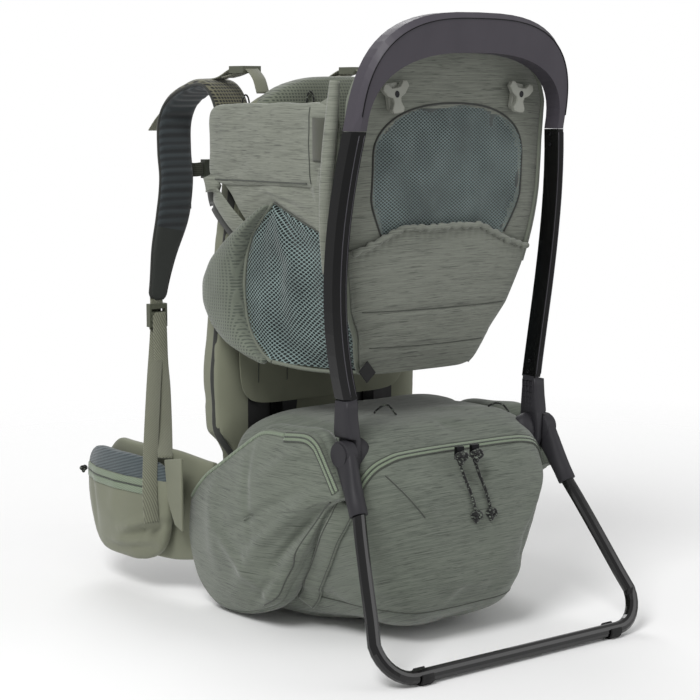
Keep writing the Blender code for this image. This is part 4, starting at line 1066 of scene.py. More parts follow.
# folds on the bag's rear face: from (x, z), to (x, z), width, height
REAR_FOLDS = [((-0.118, 0.217), (-0.072, 0.162), 0.0070, -0.0028),
              ((-0.108, 0.204), (-0.052, 0.158), 0.0085, 0.0045),
              ((0.140, 0.205), (0.080, 0.118), 0.0110, 0.0055),
              ((0.138, 0.182), (0.090, 0.096), 0.0070, -0.0042),
              ((-0.145, 0.130), (-0.070, 0.050), 0.0130, 0.0045),
              ((-0.130, 0.160), (-0.095, 0.070), 0.0080, -0.0030),
              ((0.020, 0.150), (0.070, 0.070), 0.0160, 0.0026),
              ((0.118, 0.085), (0.040, 0.052), 0.0100, 0.0030)]


def bag_relief(p, n):
    """Slack in the bag's rear and top panels."""
    total = wrinkle(p, (11, 11, 24), 0.0016, 7.7)
    flat = Vector((p.x, 0, p.z))
    if n.y < -0.4:
        for a, b, width, height in REAR_FOLDS:
            total += crease(flat, Vector((a[0], 0, a[1])), Vector((b[0], 0, b[1])), width, height)
    if n.z > 0.4:
        top = Vector((p.x, p.y, 0))
        total += crease(top, Vector((-0.14, 0.03, 0)), Vector((-0.02, 0.10, 0)), 0.012, 0.0030)
        total += crease(top, Vector((0.13, 0.02, 0)), Vector((0.03, 0.09, 0)), 0.014, 0.0026)
    return total


def build_bag():
    body = piece("bag_body", puff(46, 6.2, bag_shape), "frame", "bag", "bag_fabric", replaces=("bag_main",))
    inflate(body, 3.0, 0.004, 0.006)
    push(body, bag_relief)
    smooth_more(body)
    build_rear_zip(body)
    left = piece("pocket_panel_left", shield(POCKET_TOP + POCKET_LOW, 0.1690, 0.0235, -1, 0.140, rows=40,
                                             count=200), "frame",
                 "bag_side", "bag_fabric", replaces=("side_pocket_left",))
    push(left, pocket_relief)
    smooth_more(left)
    mirror_copy(left, "pocket_panel_right", "frame", ("side_pocket_right",))
    wall = [(0.160 + (y - 0.160) * 1.035, 0.134 + (z - 0.134) * 1.045) for y, z in POCKET_TOP + POCKET_LOW]
    gusset = piece("pocket_wall_left", shield(wall, 0.1600, 0.0100, -1, 0.130, swell=6), "frame", "bag",
                   "bag_fabric")
    smooth_more(gusset)
    mirror_copy(gusset, "pocket_wall_right", "frame")
    build_pocket_zip(left)
    build_bag_loops(body)
    build_gusset_strap(body)


# the rear zip's line on the bag as (x, z)
ZIP_PATH = [(-0.1470, 0.178), (-0.1440, 0.198), (-0.1370, 0.2145), (-0.1250, 0.2270), (-0.1060, 0.2345),
            (-0.0860, 0.2368), (-0.0300, 0.2378), (0.0200, 0.2376), (0.0750, 0.2370), (0.1020, 0.2350),
            (0.1220, 0.2290), (0.1340, 0.2170), (0.1380, 0.1990)]


def zip_along(prefix, obj, knots, axis, width, body, count=110):
    """A tape with its closed coil down the middle and a stitch line along each edge."""
    points, normals = laid(obj, knots, axis, 0.0006, count)
    sides = [n.cross(t).normalized() for n, t in zip(normals, tangents(points))]
    piece(prefix + "_tape", ribbon(points, sides, width, 0.0016), body, "zip", "bag_fabric")
    raised = [p + n * 0.0012 for p, n in zip(points, normals)]
    piece(prefix + "_coil", ribbon(raised, sides, 0.0018, 0.0012), body, "coil", "cord_black")
    for name, shift in (("upper", 0.5), ("lower", -0.5)):
        edge = [p + s * width * shift + n * 0.0004 for p, s, n in zip(points, sides, normals)]
        piece(f"{prefix}_{name}_edge", tube(edge, 0.0009, 6), body, "stitch", "bag_fabric")


def build_rear_zip(body):
    zip_along("rear_zip", body, [(x, -0.1, z) for x, z in ZIP_PATH], (0, 1, 0), 0.0095, "frame", 150)
    dart = [(-0.1183, -0.1, 0.2169), (-0.0958, -0.1, 0.1913), (-0.0730, -0.1, 0.1642)]
    seam("rear_dart_seam", body, dart, (0, 1, 0), "frame", 0.0010)
    lower = [(-0.150, -0.1, 0.0500), (-0.08, -0.1, 0.0440), (0.0, -0.1, 0.0420), (0.08, -0.1, 0.0460),
             (0.120, -0.1, 0.0560)]
    seam("rear_lower_seam", body, lower, (0, 1, 0), "frame", 0.0009)


def build_pocket_zip(panel):
    top = [(-0.3, y, z) for y, z in [(0.100, 0.2500), (0.060, 0.2540), (0.042, 0.2490), (0.0310, 0.2370),
                                     (0.0180, 0.2195), (0.0020, 0.1990)]]
    zip_along("pocket_zip", panel, top, (1, 0, 0), 0.0105, "frame", 80)
    cord = [(-0.3, y, z) for y, z in POCKET_TOP[:7]]
    inset = [(x, 0.160 + (y - 0.160) * 0.975, 0.134 + (z - 0.134) * 0.965) for x, y, z in cord]
    for label, side in SIDES.items():
        target = bpy.data.objects["pocket_panel_" + label]
        knots = [(-side * x, y, z) for x, y, z in inset]
        seam(f"pocket_piping_{label}", target, knots, (-side, 0, 0), "frame", 0.0026, "zip", 0.0, 90)
    low = [(-0.3, 0.160 + (y - 0.160) * 0.97, 0.134 + (z - 0.134) * 0.97) for y, z in POCKET_LOW[:7]]
    for label, side in SIDES.items():
        target = bpy.data.objects["pocket_panel_" + label]
        seam(f"pocket_lower_seam_{label}", target, [(-side * x, y, z) for x, y, z in low], (-side, 0, 0),
             "frame",
             0.0011, "stitch", 0.0, 60)


def build_gusset_strap(body):
    """The flat compression band that crosses the bag's rear corner, down to its floor seam."""
    for label, side in SIDES.items():
        knots = [(side * 0.4, y, z)
                 for y, z in ((0.004, 0.182), (0.022, 0.150), (0.058, 0.100), (0.100, 0.052), (0.118, 0.036))]
        points, normals = laid(body, knots, (-side, 0, 0), 0.0016, 50)
        sides = [n.cross(t).normalized() for n, t in zip(normals, tangents(points))]
        piece(f"gusset_band_{label}", ribbon(points, sides, 0.026, 0.0030), "frame", "bag_side", "bag_fabric")
        for name, shift in (("front", 0.42), ("rear", -0.42)):
            edge = [p + s * 0.026 * shift + n * 0.0016 for p, s, n in zip(points, sides, normals)]
            piece(f"gusset_{name}_stitch_{label}", tube(edge, 0.0006, 6), "frame", "stitch", "bag_fabric")


def build_bag_loops(body):
    """Short cord loops sewn on the bag's top, where straps tie down."""
    bvh = surface(body)
    for number, (x0, y0, x1, y1) in enumerate(((-0.052, 0.082, -0.030, 0.066), (0.100, 0.044, 0.126, 0.034))):
        points = []
        for k in range(15):
            t = k / 14
            start = at(x0 + (x1 - x0) * t, y0 + (y1 - y0) * t, 0.5)
            found = onto(bvh, start, Vector((0, 0, -1)), 0.0006 + (0.012 - 0.006 * number)
                         * math.sin(math.pi * t))
            if found:
                points.append(found[0])
        piece(f"bag_loop_{number}", tube(points, 0.0013, 8), "frame", "cord", "cord_black")


# ---- the seat back ----
PANEL_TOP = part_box("seat_back")[1].z
# seat back panel: height, half width
HALF_LEVELS = [(0.318, 0.048), (0.322, 0.082), (0.330, 0.090), (0.353, 0.099), (0.368, 0.103),
               (0.400, 0.121), (0.450, 0.135), (0.482, 0.140), (0.500, 0.143), (0.540, 0.1475),
               (0.600, 0.1485), (0.650, 0.1480), (0.672, 0.140), (0.690, 0.124), (0.702, 0.104),
               (0.712, 0.078), (0.716, 0.060)]


def panel_rear(z):
    """Rear face of the seat back at height z: it follows the rails, then leans out to the seat."""
    if z > 0.6:
        return 0.003 - 0.10 * (z - 0.6)
    return 0.003 + 0.059 * ((0.6 - z) / 0.278) ** 1.9


def half_at(z, shrink=0.0):
    zs = [a for a, _ in HALF_LEVELS]
    return float(np.interp(z, zs, [b for _, b in HALF_LEVELS])) - shrink


def window_depth(x, z):
    """How far inside the window outline a point is, in metres; negative outside."""
    top = 0.645
    w = 0.1135 * max(1 - max((z - 0.585) / (top - 0.585), 0) ** 2.3, 0) ** 0.5 if z > 0.585 else \
        0.1135 - 0.020 * max((0.535 - z) / 0.045, 0) ** 1.2
    side_gap = w - abs(x)
    return min(side_gap, z - 0.490, (top - z))


def quilt(x, z):
    """The sewn lines across the lower part: grooves in the padding."""
    total = 0.0
    for level in (0.4005, 0.3545):
        total += 0.0030 * math.exp(-((z - level) / 0.0032) ** 2)
    return total


def seat_point(u, v, layer):
    """A point of the seat back: u across from -1 to 1, v up from 0 to 1, layer 0 rear, 1 front."""
    z = 0.318 + (PANEL_TOP - 0.318) * v
    half = half_at(z)
    x = half * u
    edge = (1 - abs(u) ** 8) ** 0.5
    ends = min(v / 0.03, (1 - v) / 0.03, 1.0)
    ends = math.sqrt(max(1 - (1 - ends) ** 2, 0))
    body = 0.014 * edge * ends
    middle = panel_rear(z) + 0.008
    if layer:
        return at(x, middle + body / 2, z)
    inside = window_depth(x, z)
    dip = 0.0070 * float(smoothstep(0.0, 0.012, inside)) if inside > 0 else 0.0
    if inside > 0.004:
        dip += wrinkle(Vector((x, 0, z)), (38, 0, 30), 0.008, 11.0) - 0.003 * math.sin(x * 80 + z * 55)
    crown = 0.003 * (1 - u * u) - quilt(x, z)
    relief = wrinkle(Vector((x, 0, z)), (14, 0, 20), 0.0012, 5.0)
    y = middle - body / 2 - (crown + relief) * edge * ends + dip
    return at(x, y, z)


def build_seat_back():
    nu, nv = 84, 110
    bm = bmesh.new()
    rear = [[bm.verts.new(seat_point(2 * i / nu - 1, j / nv, 0)) for i in range(nu + 1)]
            for j in range(nv + 1)]
    front = [[bm.verts.new(seat_point(2 * i / nu - 1, j / nv, 1)) for i in range(nu + 1)]
             for j in range(nv + 1)]
    for grid, flip in ((rear, False), (front, True)):
        for j in range(nv):
            for i in range(nu):
                face = (grid[j][i], grid[j][i + 1], grid[j + 1][i + 1], grid[j + 1][i])
                bm.faces.new(face[::-1] if flip else face)
    for j in range(nv):
        bm.faces.new((rear[j][0], rear[j + 1][0], front[j + 1][0], front[j][0]))
        bm.faces.new((rear[j][nu], front[j][nu], front[j + 1][nu], rear[j + 1][nu]))
    for i in range(nu):
        bm.faces.new((rear[0][i], front[0][i], front[0][i + 1], rear[0][i + 1]))
        bm.faces.new((rear[nv][i], rear[nv][i + 1], front[nv][i + 1], front[nv][i]))
    bmesh.ops.remove_doubles(bm, verts=bm.verts, dist=2e-5)
    seat = piece("seat_back_panel", bm, "frame", "heather", "heather_fabric", replaces=("seat_back",),
                 extra=("net_backing_painted_shade",))
    # faces behind the window take the backing cloth with its painted light and shade
    for face in seat.data.polygons:
        c = face.center - Vector((0, ROW_Y, 0))
        if window_depth(c.x, c.z) > 0.005 and face.normal.y < -0.2:
            face.material_index = 1
    smooth_more(seat)
    build_window(seat)
    build_seat_pocket()
    build_panel_edges()


def window_outline(grow=0.0):
    """The window's edge as carrier frame (x, z), from its lower left corner round the top."""
    out = []
    w = 0.1135 + grow
    for z in np.linspace(0.490, 0.585, 9):
        out.append((-(w - 0.020 * max((0.535 - z) / 0.045, 0) ** 1.2), z))
    for k in range(1, 25):
        a = math.pi * k / 25
        out.append((-w * abs(math.cos(a)) ** 0.87 * (1 if a < math.pi / 2 else -1),
                    0.585 + (0.060 + grow) * math.sin(a) ** 0.9))
    for z in np.linspace(0.585, 0.490, 9):
        out.append((w - 0.020 * max((0.535 - z) / 0.045, 0) ** 1.2, z))
    return out


def build_window(seat):
    """The net over the window, with a bound edge."""
    nu, nv = 60, 44
    bm = bmesh.new()
    grid = []
    for j in range(nv + 1):
        z = 0.488 + (0.6445 - 0.488) * j / nv
        if z > 0.585:
            w = 0.1135 * max(1 - ((z - 0.585) / 0.060) ** 2.3, 0) ** 0.5 + 0.001
        else:
            w = 0.1135 - 0.020 * max((0.535 - z) / 0.045, 0) ** 1.2
        row = []
        for i in range(nu + 1):
            u = 2 * i / nu - 1
            x = w * u
            belly = (1 - u * u) * math.sin(math.pi * j / nv)
            slack = wrinkle(Vector((x, 0, z)), (30, 0, 26), 0.0028, 2.0) * min(1, 3 * belly)
            row.append(bm.verts.new(at(x, panel_rear(z) - 0.0005 - 0.001 * belly + slack, z)))
        grid.append(row)
    for j in range(nv):
        for i in range(nu):
            bm.faces.new((grid[j][i], grid[j][i + 1], grid[j + 1][i + 1], grid[j + 1][i]))
    net = piece("window_net", bm, "frame", "window", "teal_mesh")
    smooth_more(net)
    points, _ = laid(seat, [(x, -0.2, z) for x, z in window_outline(0.0015)], (0, 1, 0), 0.0002, 150)
    piece("window_binding", tube(points, 0.0013, 8), "frame", "binding", "heather_fabric")


# gathered hem of the seat back's pocket as (x, z)
POCKET_HEM = [(-0.1395, 0.4760), (-0.1180, 0.4830), (-0.0960, 0.4930), (-0.0680, 0.5045),
              (-0.0300, 0.5030), (0.0120, 0.5045), (0.0520, 0.5030), (0.0930, 0.4850), (0.1150, 0.4780),
              (0.1395, 0.4720)]


def hem_z(x):
    return float(np.interp(x, [a for a, _ in POCKET_HEM], [b for _, b in POCKET_HEM]))


def build_seat_pocket():
    """The stretch pocket over the lower half: one bulging sheet under a gathered elastic hem."""
    nu, nv = 90, 60
    bm = bmesh.new()
    grid = []
    for j in range(nv + 1):
        v = j / nv
        row = []
        for i in range(nu + 1):
            u = 2 * i / nu - 1
            z = 0.3205 + (hem_z(0.1395 * u) - 0.3205) * v
            x = (half_at(z) + 0.0005) * u
            z = 0.3205 + (hem_z(x) - 0.3205) * v
            edge = (1 - abs(u) ** 6) ** 0.5
            belly = edge * (0.0035 + 0.0075 * math.sin(math.pi * min(v * 0.62 + 0.30, 1.0))
                            * smoothstep(0, 0.2, v))
            pucker = 0.0011 * math.sin(x * 620) * float(smoothstep(0.80, 1.0, v))
            relief = wrinkle(Vector((x, 0, z)), (16, 0, 26), 0.0022, 9.0) * v
            y = panel_rear(z) - 0.0005 - float(belly) + (quilt(x, z) + pucker - relief) * edge + 0.004 * (1
                - edge)
            row.append(bm.verts.new(at(x, y, z)))
        grid.append(row)
    for j in range(nv):
        for i in range(nu):
            bm.faces.new((grid[j][i], grid[j][i + 1], grid[j + 1][i + 1], grid[j + 1][i]))
    pocket = piece("seat_pocket", bm, "frame", "heather", "heather_fabric")
    solid = pocket.modifiers.new("thickness", "SOLIDIFY")
    solid.thickness = 0.0012
    smooth_more(pocket)
    bvh = surface(pocket)
    points = []
    for k in range(181):
        x = -0.136 + 0.272 * k / 180
        z = hem_z(x) - 0.0028
        found = onto(bvh, at(x, -0.3, z), Vector((0, 1, 0)), 0.0012)
        if found:
            swell = 0.0012 * math.sin(x * 620)
            points.append(found[0] + Vector((0, -swell, 0.0008 * math.sin(x * 431))))
    hem = tube(points, lambda s: 0.0036 + 0.0006 * math.sin(s * 170) + 0.0004 * math.sin(s * 97), 10)
    piece("pocket_elastic_hem", hem, "frame", "heather", "heather_fabric")
    for number, level in enumerate((0.4005, 0.3545)):
        half = half_at(level) - 0.010
        knots = [(-half, -0.2, level + 0.002), (0, -0.2, level - 0.0003), (half, -0.2, level + 0.0005)]
        seam(f"quilt_stitch_{number}", pocket, knots, (0, 1, 0), "frame", 0.0008, "stitch", 0.0, 70)


def build_panel_edges():
    """Binding along the seat back's edge, and the blank tag at its lower corner."""
    left, right = [], []
    for z in np.linspace(0.324, 0.700, 46):
        y = panel_rear(z) + 0.007
        left.append(at(-half_at(z) - 0.0005, y, z))
        right.append(at(half_at(z) + 0.0005, y, z))
    for label, line in (("left", left), ("right", right)):
        piece(f"panel_binding_{label}", tube(even(line, 90), 0.0034, 10), "frame", "piping", "heather_fabric")
    centre = at(-0.088, 0.050, 0.327)
    u, v = Vector((0.8, 0.1, 0.62)).normalized(), Vector((-0.62, 0.05, 0.78)).normalized()
    bm = bmesh.new()
    half = 0.0095
    corners = [centre + (u * a + v * b) * half for a, b in ((-1, -1), (1, -1), (1, 1), (-1, 1))]
    face = bm.faces.new([bm.verts.new(c) for c in corners])
    made = bmesh.ops.extrude_face_region(bm, geom=[face])
    shift = u.cross(v).normalized() * 0.0014
    bmesh.ops.translate(bm, vec=shift, verts=[e for e in made["geom"] if isinstance(e, bmesh.types.BMVert)])
    tag = piece("seat_tag", bm, "frame", "tag", "cord_black", smooth=False)
    edge = tag.modifiers.new("eased_edges", "BEVEL")
    edge.width = 0.0006
    edge.segments = 2


# ---- the cockpit ----
BAND_X = abs(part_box("side_band_left")[0].x)
BAND_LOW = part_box("side_band_left")[0].z
BAND_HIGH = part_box("side_band_left")[1].z


def band_shape(a, b, c):
    """The soft band along the cockpit's top edge."""
    y0, y1 = 0.027, 0.292
    y = y0 + (y1 - y0) * (b + 1) / 2
    t = (b + 1) / 2
    low = BAND_LOW - 0.004 + 0.002 * math.sin(t * 5)
    high = BAND_HIGH + 0.006 - 0.003 * t
    x = BAND_X - 0.007 + a * 0.0075 + 0.004 * math.sin(math.pi * t) * (1 - c * c)
    return at(-x, y, low + (high - low) * (c + 1) / 2)


def band_relief(p, n):
    total = wrinkle(p, (0, 26, 40), 0.0016, 4.0)
    total += crease(Vector((0, p.y, p.z)), Vector((0, 0.27, 0.552)), Vector((0, 0.20, 0.575)), 0.007, 0.0018)
    total -= crease(Vector((0, p.y, p.z)), Vector((0, 0.068, 0.548)), Vector((0, 0.068, 0.648)), 0.004,
                    0.0022)
    return total


def build_side_band():
    left = piece("cockpit_band_left", puff(26, 7.0, band_shape), "frame", "heather_side", "heather_fabric",
                 replaces=("side_band_left",))
    push(left, band_relief)
    smooth_more(left)
    right = mirror_copy(left, "cockpit_band_right", "frame", ("side_band_right",))
    for label, side in SIDES.items():
        target = bpy.data.objects["cockpit_band_" + label]
        axis = (-side, 0, 0)
        level = [(side * 0.4, y, z)
                 for y, z in ((0.286, 0.5510), (0.20, 0.5520), (0.13, 0.5525), (0.076, 0.5530))]
        seam(f"band_lower_seam_{label}", target, level, axis, "frame", 0.0009)
        post = [(side * 0.4, 0.0680, z) for z in (0.553, 0.58, 0.61, 0.642)]
        seam(f"band_post_seam_{label}", target, post, axis, "frame", 0.0009)
        patch_points, _ = laid(target, [(side * 0.4, 0.0490, z) for z in (0.580, 0.605, 0.630)], axis,
                               0.0012, 14)
        piece(f"fleece_patch_{label}", ribbon(patch_points, Vector((0, 1, 0)), 0.026, 0.0022), "frame",
              "fleece",
              "heather_fabric")
        roll = curve([(side * 0.150, 0.0300, 0.672), (side * 0.154, 0.0290, 0.640),
                      (side * 0.159, 0.0300, 0.590), (side * 0.161, 0.0330, 0.540),
                      (side * 0.158, 0.0390, 0.490), (side * 0.150, 0.0450, 0.450)], 8)
        edge_roll = tube(roll, lambda s: 0.0060 + 0.0022 * math.sin(math.pi * min(s * 1.2, 1)), 12)
        piece(f"cockpit_edge_roll_{label}", edge_roll, "frame", "heather_side", "heather_fabric")


def side_sheet(name, edge_a, edge_b, side, bulge, material, slot, folds=0.0, seed=0.0, nu=60, nv=60):
    """A cloth sheet between two (x, y, z) lines at the carrier's side, with gathered folds along it."""
    a = even([Vector(p) for p in edge_a], nv + 1)
    b = even([Vector(p) for p in edge_b], nv + 1)
    bm = bmesh.new()
    grid = []
    for j in range(nv + 1):
        row = []
        for i in range(nu + 1):
            u, v = i / nu, j / nv
            p = a[j].lerp(b[j], u)
            inner = math.sin(math.pi * u) ** 0.6
            gather = folds * (math.sin(u * 13 + 2.6 * v + seed) + 0.5 * math.sin(u * 22 - 5 * v)) * inner
            bag = 0.35 + 0.65 * math.sin(math.pi * min(v * 0.9 + 0.1, 1))
            swell = bulge * math.sin(math.pi * u) * math.sin(math.pi * v)
            x = p.x + swell + gather * bag + wrinkle(p, (0, 30, 30), 0.002, seed) * inner
            row.append(bm.verts.new(at(side * x, p.y, p.z)))
        grid.append(row)
    for j in range(nv):
        for i in range(nu):
            face = (grid[j][i], grid[j][i + 1], grid[j + 1][i + 1], grid[j + 1][i])
            bm.faces.new(face if side < 0 else face[::-1])
    obj = piece(name, bm, "frame", material, slot)
    smooth_more(obj)
    return obj


# side net: its front, top and rear edges as (x, y, z) on a positive side
LEG_FRONT = [(0.1525, y, z) for y, z in ((0.150, 0.5270), (0.172, 0.5080), (0.1950, 0.4850), (0.2080, 0.4550),
                                         (0.2130, 0.4200), (0.2080, 0.3850), (0.1967, 0.3620),
                                         (0.1760, 0.3430),
                                         (0.1555, 0.3330))]
LEG_TOP = [(0.1510, 0.150, 0.5275), (0.1510, 0.100, 0.5100), (0.1500, 0.055, 0.4960)]
LEG_REAR = LEG_TOP + [(half_at(z) + 0.001, panel_rear(z) + 0.010, z)
                      for z in (0.470, 0.440, 0.410, 0.380, 0.350, 0.324)]
# cockpit wall over the net, from its top down
WALL_REAR = [(0.1500, 0.0240, 0.660), (0.1530, 0.0250, 0.620), (0.1540, 0.0280, 0.560),
             (0.1500, 0.0340, 0.500)]
WALL_FRONT = [(0.1530, 0.0740, 0.640), (0.1540, 0.0760, 0.610), (0.1540, 0.0760, 0.560),
              (0.1520, 0.0640, 0.498)]
# wall between the net's top and the side band
GUSSET_LOW = [(0.1510, y, z) for y, z in ((0.030, 0.490), (0.060, 0.497), (0.100, 0.5110), (0.150, 0.5285),
                                          (0.172, 0.5100), (0.1950, 0.4870))]
GUSSET_TOP = [(0.1530, y, z) for y, z in ((0.030, 0.556), (0.080, 0.556), (0.130, 0.556), (0.190, 0.556),
                                          (0.235, 0.5540), (0.262, 0.5500))]


def build_leg_side():
    """The gathered net beside each leg, its lining, the plain gusset above it and the ribbed thigh pad."""
    for label, side in SIDES.items():
        net = side_sheet(f"leg_net_{label}", LEG_REAR, LEG_FRONT, side, 0.008, "leg", "teal_mesh", 0.0034,
                         1.0, 80, 70)
        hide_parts("leg_mesh_" + label)
        inset = [(x - 0.0035, y + 0.002, z) for x, y, z in LEG_REAR]
        front = [(x - 0.0035, y - 0.002, z) for x, y, z in LEG_FRONT]
        side_sheet(f"leg_lining_{label}", inset, front, side, -0.006, "lining", "teal_mesh", 0.0040, 3.5,
                   50, 50)
        side_sheet(f"side_gusset_{label}", GUSSET_LOW, GUSSET_TOP, side, 0.002, "heather_side",
                   "heather_fabric",
                   0.0008, 6.0, 30, 60)
        side_sheet(f"cockpit_wall_{label}", WALL_REAR, WALL_FRONT, side, 0.002, "heather_side",
                   "heather_fabric",
                   0.0006, 2.0, 24, 50)
        strap = curve([(side * 0.1560, 0.2860, 0.5560), (side * 0.1575, 0.2720, 0.5330),
                       (side * 0.1575, 0.2420, 0.5080), (side * 0.1560, 0.2080, 0.4860)], 8)
        piece(f"side_strap_{label}", ribbon(strap, Vector((0, 0.6, 0.8)), 0.022, 0.0022), "frame",
              "heather_side",
              "heather_fabric")
        under = curve([(side * 0.1530, 0.2900, 0.5450), (side * 0.1530, 0.2800, 0.5180),
                       (side * 0.1530, 0.2450, 0.4920), (side * 0.1530, 0.2160, 0.4750)], 8)
        piece(f"side_strap_shadow_{label}", ribbon(under, Vector((0, 0.6, 0.8)), 0.020, 0.0020), "frame",
              "binding",
              "heather_fabric")
        front_line = [(side * 0.1545, y, z) for _, y, z in LEG_FRONT]
        piece(f"leg_net_piping_{label}", tube(even(curve(front_line, 6), 110), 0.0021, 8), "frame", "piping",
              "teal_mesh")
        top_line = [(side * (x + 0.001), y, z) for x, y, z in LEG_TOP]
        piece(f"leg_net_top_seam_{label}", tube(even(curve(top_line, 6), 40), 0.0013, 8), "frame", "stitch",
              "teal_mesh")
        (x0, y0, z0), (x1, y1, z1) = LEG_FRONT[-1], LEG_REAR[-1]
        hem = [(side * (x0 + (x1 - x0) * t), y0 + (y1 - y0) * t,
                z0 + (z1 - z0) * t - 0.004 * math.sin(math.pi * t))
               for t in (0.0, 0.33, 0.67, 1.0)]
        piece(f"leg_net_hem_{label}", tube(even(curve(hem, 6), 60), 0.0024, 8), "frame", "piping",
              "teal_mesh")
    build_thigh_pads()


# outer curve of the bolster, from its top to its foot
THIGH = [(0.152, 0.531), (0.178, 0.514), (0.206, 0.494), (0.240, 0.474), (0.268, 0.452), (0.286, 0.424),
         (0.286, 0.396), (0.268, 0.370), (0.238, 0.350), (0.200, 0.336), (0.158, 0.327)]


def build_thigh_pads():
    """Ribbed bolsters between the net's front edge and a full outer curve."""
    rows, count = 44, 28
    inner_line = even([Vector(p) for p in LEG_FRONT], rows + 1)
    outer_line = even([Vector((0, y, z)) for y, z in THIGH], rows + 1)
    rings = []
    for i in range(1, rows):
        v = i / rows
        swell = math.sin(math.pi * v) ** 0.55
        a, b = inner_line[i], outer_line[i]
        middle = (Vector((0, a.y, a.z)) + b) / 2
        half = (b - Vector((0, a.y, a.z))) / 2
        ring = []
        for k in range(count):
            turn = 2 * math.pi * k / count
            c, sn = math.cos(turn), math.sin(turn)
            q = middle + half * math.copysign(abs(c) ** 0.75, c)
            x = 0.1560 + 0.0040 * swell + 0.0190 * swell * math.copysign(abs(sn) ** 0.85, sn)
            ring.append(at(-x, q.y, q.z))
        rings.append(ring)
    left = piece("thigh_bolster_left", rings_mesh(rings), "frame", "thigh", "teal_mesh",
                 replaces=("thigh_pad_left",))
    push(left, lambda p, n: 0.0007 * math.sin((p.y + 0.25 * p.z) * 2 * math.pi / 0.0085)
         + wrinkle(p, (20, 20, 20), 0.0015))
    smooth_more(left)
    right = mirror_copy(left, "thigh_bolster_right", "frame", ("thigh_pad_right",))


def front_shape(a, b, c):
    """The padded rest in front of the child's chest, higher in the middle."""
    low, high = 0.590, 0.680
    t = (c + 1) / 2
    crown = 0.020 * (1 - abs(a) ** 2.2) - 0.020
    z = low + (high + crown * t - low) * t
    x = a * (0.120 - 0.010 * t)
    y = 0.240 + b * 0.022 - 0.010 * (1 - a * a) * 0.3
    return at(x, y, z)


def build_front_pad():
    pad = piece("front_rest", puff(24, 3.6, front_shape), "frame", "front", "heather_fabric",
                replaces=("front_pad",))
    inflate(pad, 3.0, 0.004, 0.005)
    push(pad, lambda p, n: wrinkle(p, (18, 18, 18), 0.0022, 2.0))
    smooth_more(pad)
    for number, (x, y, z) in enumerate(((-0.052, 0.217, 0.654), (-0.122, 0.258, 0.650),
                                        (0.052, 0.217, 0.654))):
        points = []
        for k in range(13):
            a = math.pi * k / 12
            points.append(at(x + 0.0055 * math.cos(a), y - 0.0030, z - 0.008 + 0.014 * math.sin(a)))
        piece(f"rest_loop_{number}", tube(points, 0.0011, 8), "frame", "cord", "cord_black")


# the back cover's top edge, and its rear seams as x
COVER_TOP = BACK_TOP + 0.010
COVER_SEAMS = (-0.105, -0.060, 0.060)


def build_back_pad():
    """The olive back cover: two soft columns, a sewn valley, and mesh on the wearer's side."""
    levels = [(0.0, 0.100), (0.03, 0.124), (0.10, 0.133), (0.205, 0.136), (0.225, 0.160), (0.30, 0.165),
              (0.42, 0.152), (0.52, 0.137), (0.60, 0.129), (0.645, 0.125), (COVER_TOP, 0.108)]
    zs = [a for a, _ in levels]
    halves = [b for _, b in levels]

    def shape(a, b, c):
        z = (c + 1) / 2 * COVER_TOP
        half = float(np.interp(z, zs, halves))
        top = float(smoothstep(0.60, BACK_TOP, z))
        thick = (PAD_FRONT - PAD_REAR) / 2 * (1 - 0.45 * top)
        middle = PAD_REAR + thick
        y = middle + b * thick
        return at(a * half, y, z)
    pad = piece("back_cover", puff(40, 6.0, shape), "frame", "olive", "olive_fabric", replaces=("back_pad",),
                extra=("back_mesh",))

    def relief(p, n):
        total = wrinkle(p, (10, 10, 14), 0.0016, 8.0)
        if n.y < -0.4:
            for x in COVER_SEAMS:
                total -= 0.0035 * math.exp(-((p.x - x) / 0.004) ** 2) * float(smoothstep(0.64, 0.60, p.z))
            total += 0.003 * math.cos(p.x * 40)
        if n.y > 0.4:
            total -= 0.006 * math.exp(-(p.x / 0.016) ** 2)
            for z in (0.14, 0.27, 0.40, 0.52):
                total -= 0.004 * math.exp(-((p.z - z) / 0.005) ** 2) * float(smoothstep(0.018, 0.03,
                                                                                        abs(p.x)))
        return total
    for face in pad.data.polygons:
        c = face.center - Vector((0, ROW_Y, 0))
        half = float(np.interp(c.z, zs, halves))
        if face.normal.y > 0.35 and 0.11 * half < abs(c.x) < 0.70 * half and 0.05 < c.z < 0.60:
            face.material_index = 1
    inflate(pad, 2.0, 0.002, 0.006)
    push(pad, relief)
    smooth_more(pad)
    for label, side in SIDES.items():
        edge = [(side * (float(np.interp(z, zs, halves)) - 0.004), PAD_REAR + 0.010, z)
                for z in np.linspace(0.04, 0.60, 16)]
        line = even(curve(edge, 5), 120)
        piece(f"cover_edge_strip_{label}", ribbon(line, Vector((0.5 * side, 1, 0)), 0.011, 0.0024), "frame",
              "binding",
              "olive_fabric")


def build_frame_cover():
    """The olive cloth that covers the frame sheet and its stays on the child's side."""
    low, high = 0.262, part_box("frame_sheet")[1].z + 0.004
    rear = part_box("back_stay_left")[0].y - ROW_Y - 0.0006

    def shape(a, b, c):
        z = low + (high - low) * (c + 1) / 2
        return at(a * 0.1340, rear - 0.0016 + b * 0.0014, z)

    def relief(p, n):
        if n.y > -0.4:
            return 0.0
        total = wrinkle(p, (12, 12, 16), 0.0012, 3.0)
        for x in COVER_SEAMS:
            total -= 0.0012 * math.exp(-((p.x - x) / 0.0035) ** 2)
        return total
    cover = piece("frame_cover", puff(36, 9.0, shape), "frame", "olive", "olive_fabric")
    push(cover, relief)
    smooth_more(cover)
    for number, x in enumerate(COVER_SEAMS):
        knots = [(x, -0.2, z) for z in (0.29, 0.38, 0.48, 0.58)]
        seam(f"cover_rear_seam_{number}", cover, knots, (0, 1, 0), "frame", 0.0008)


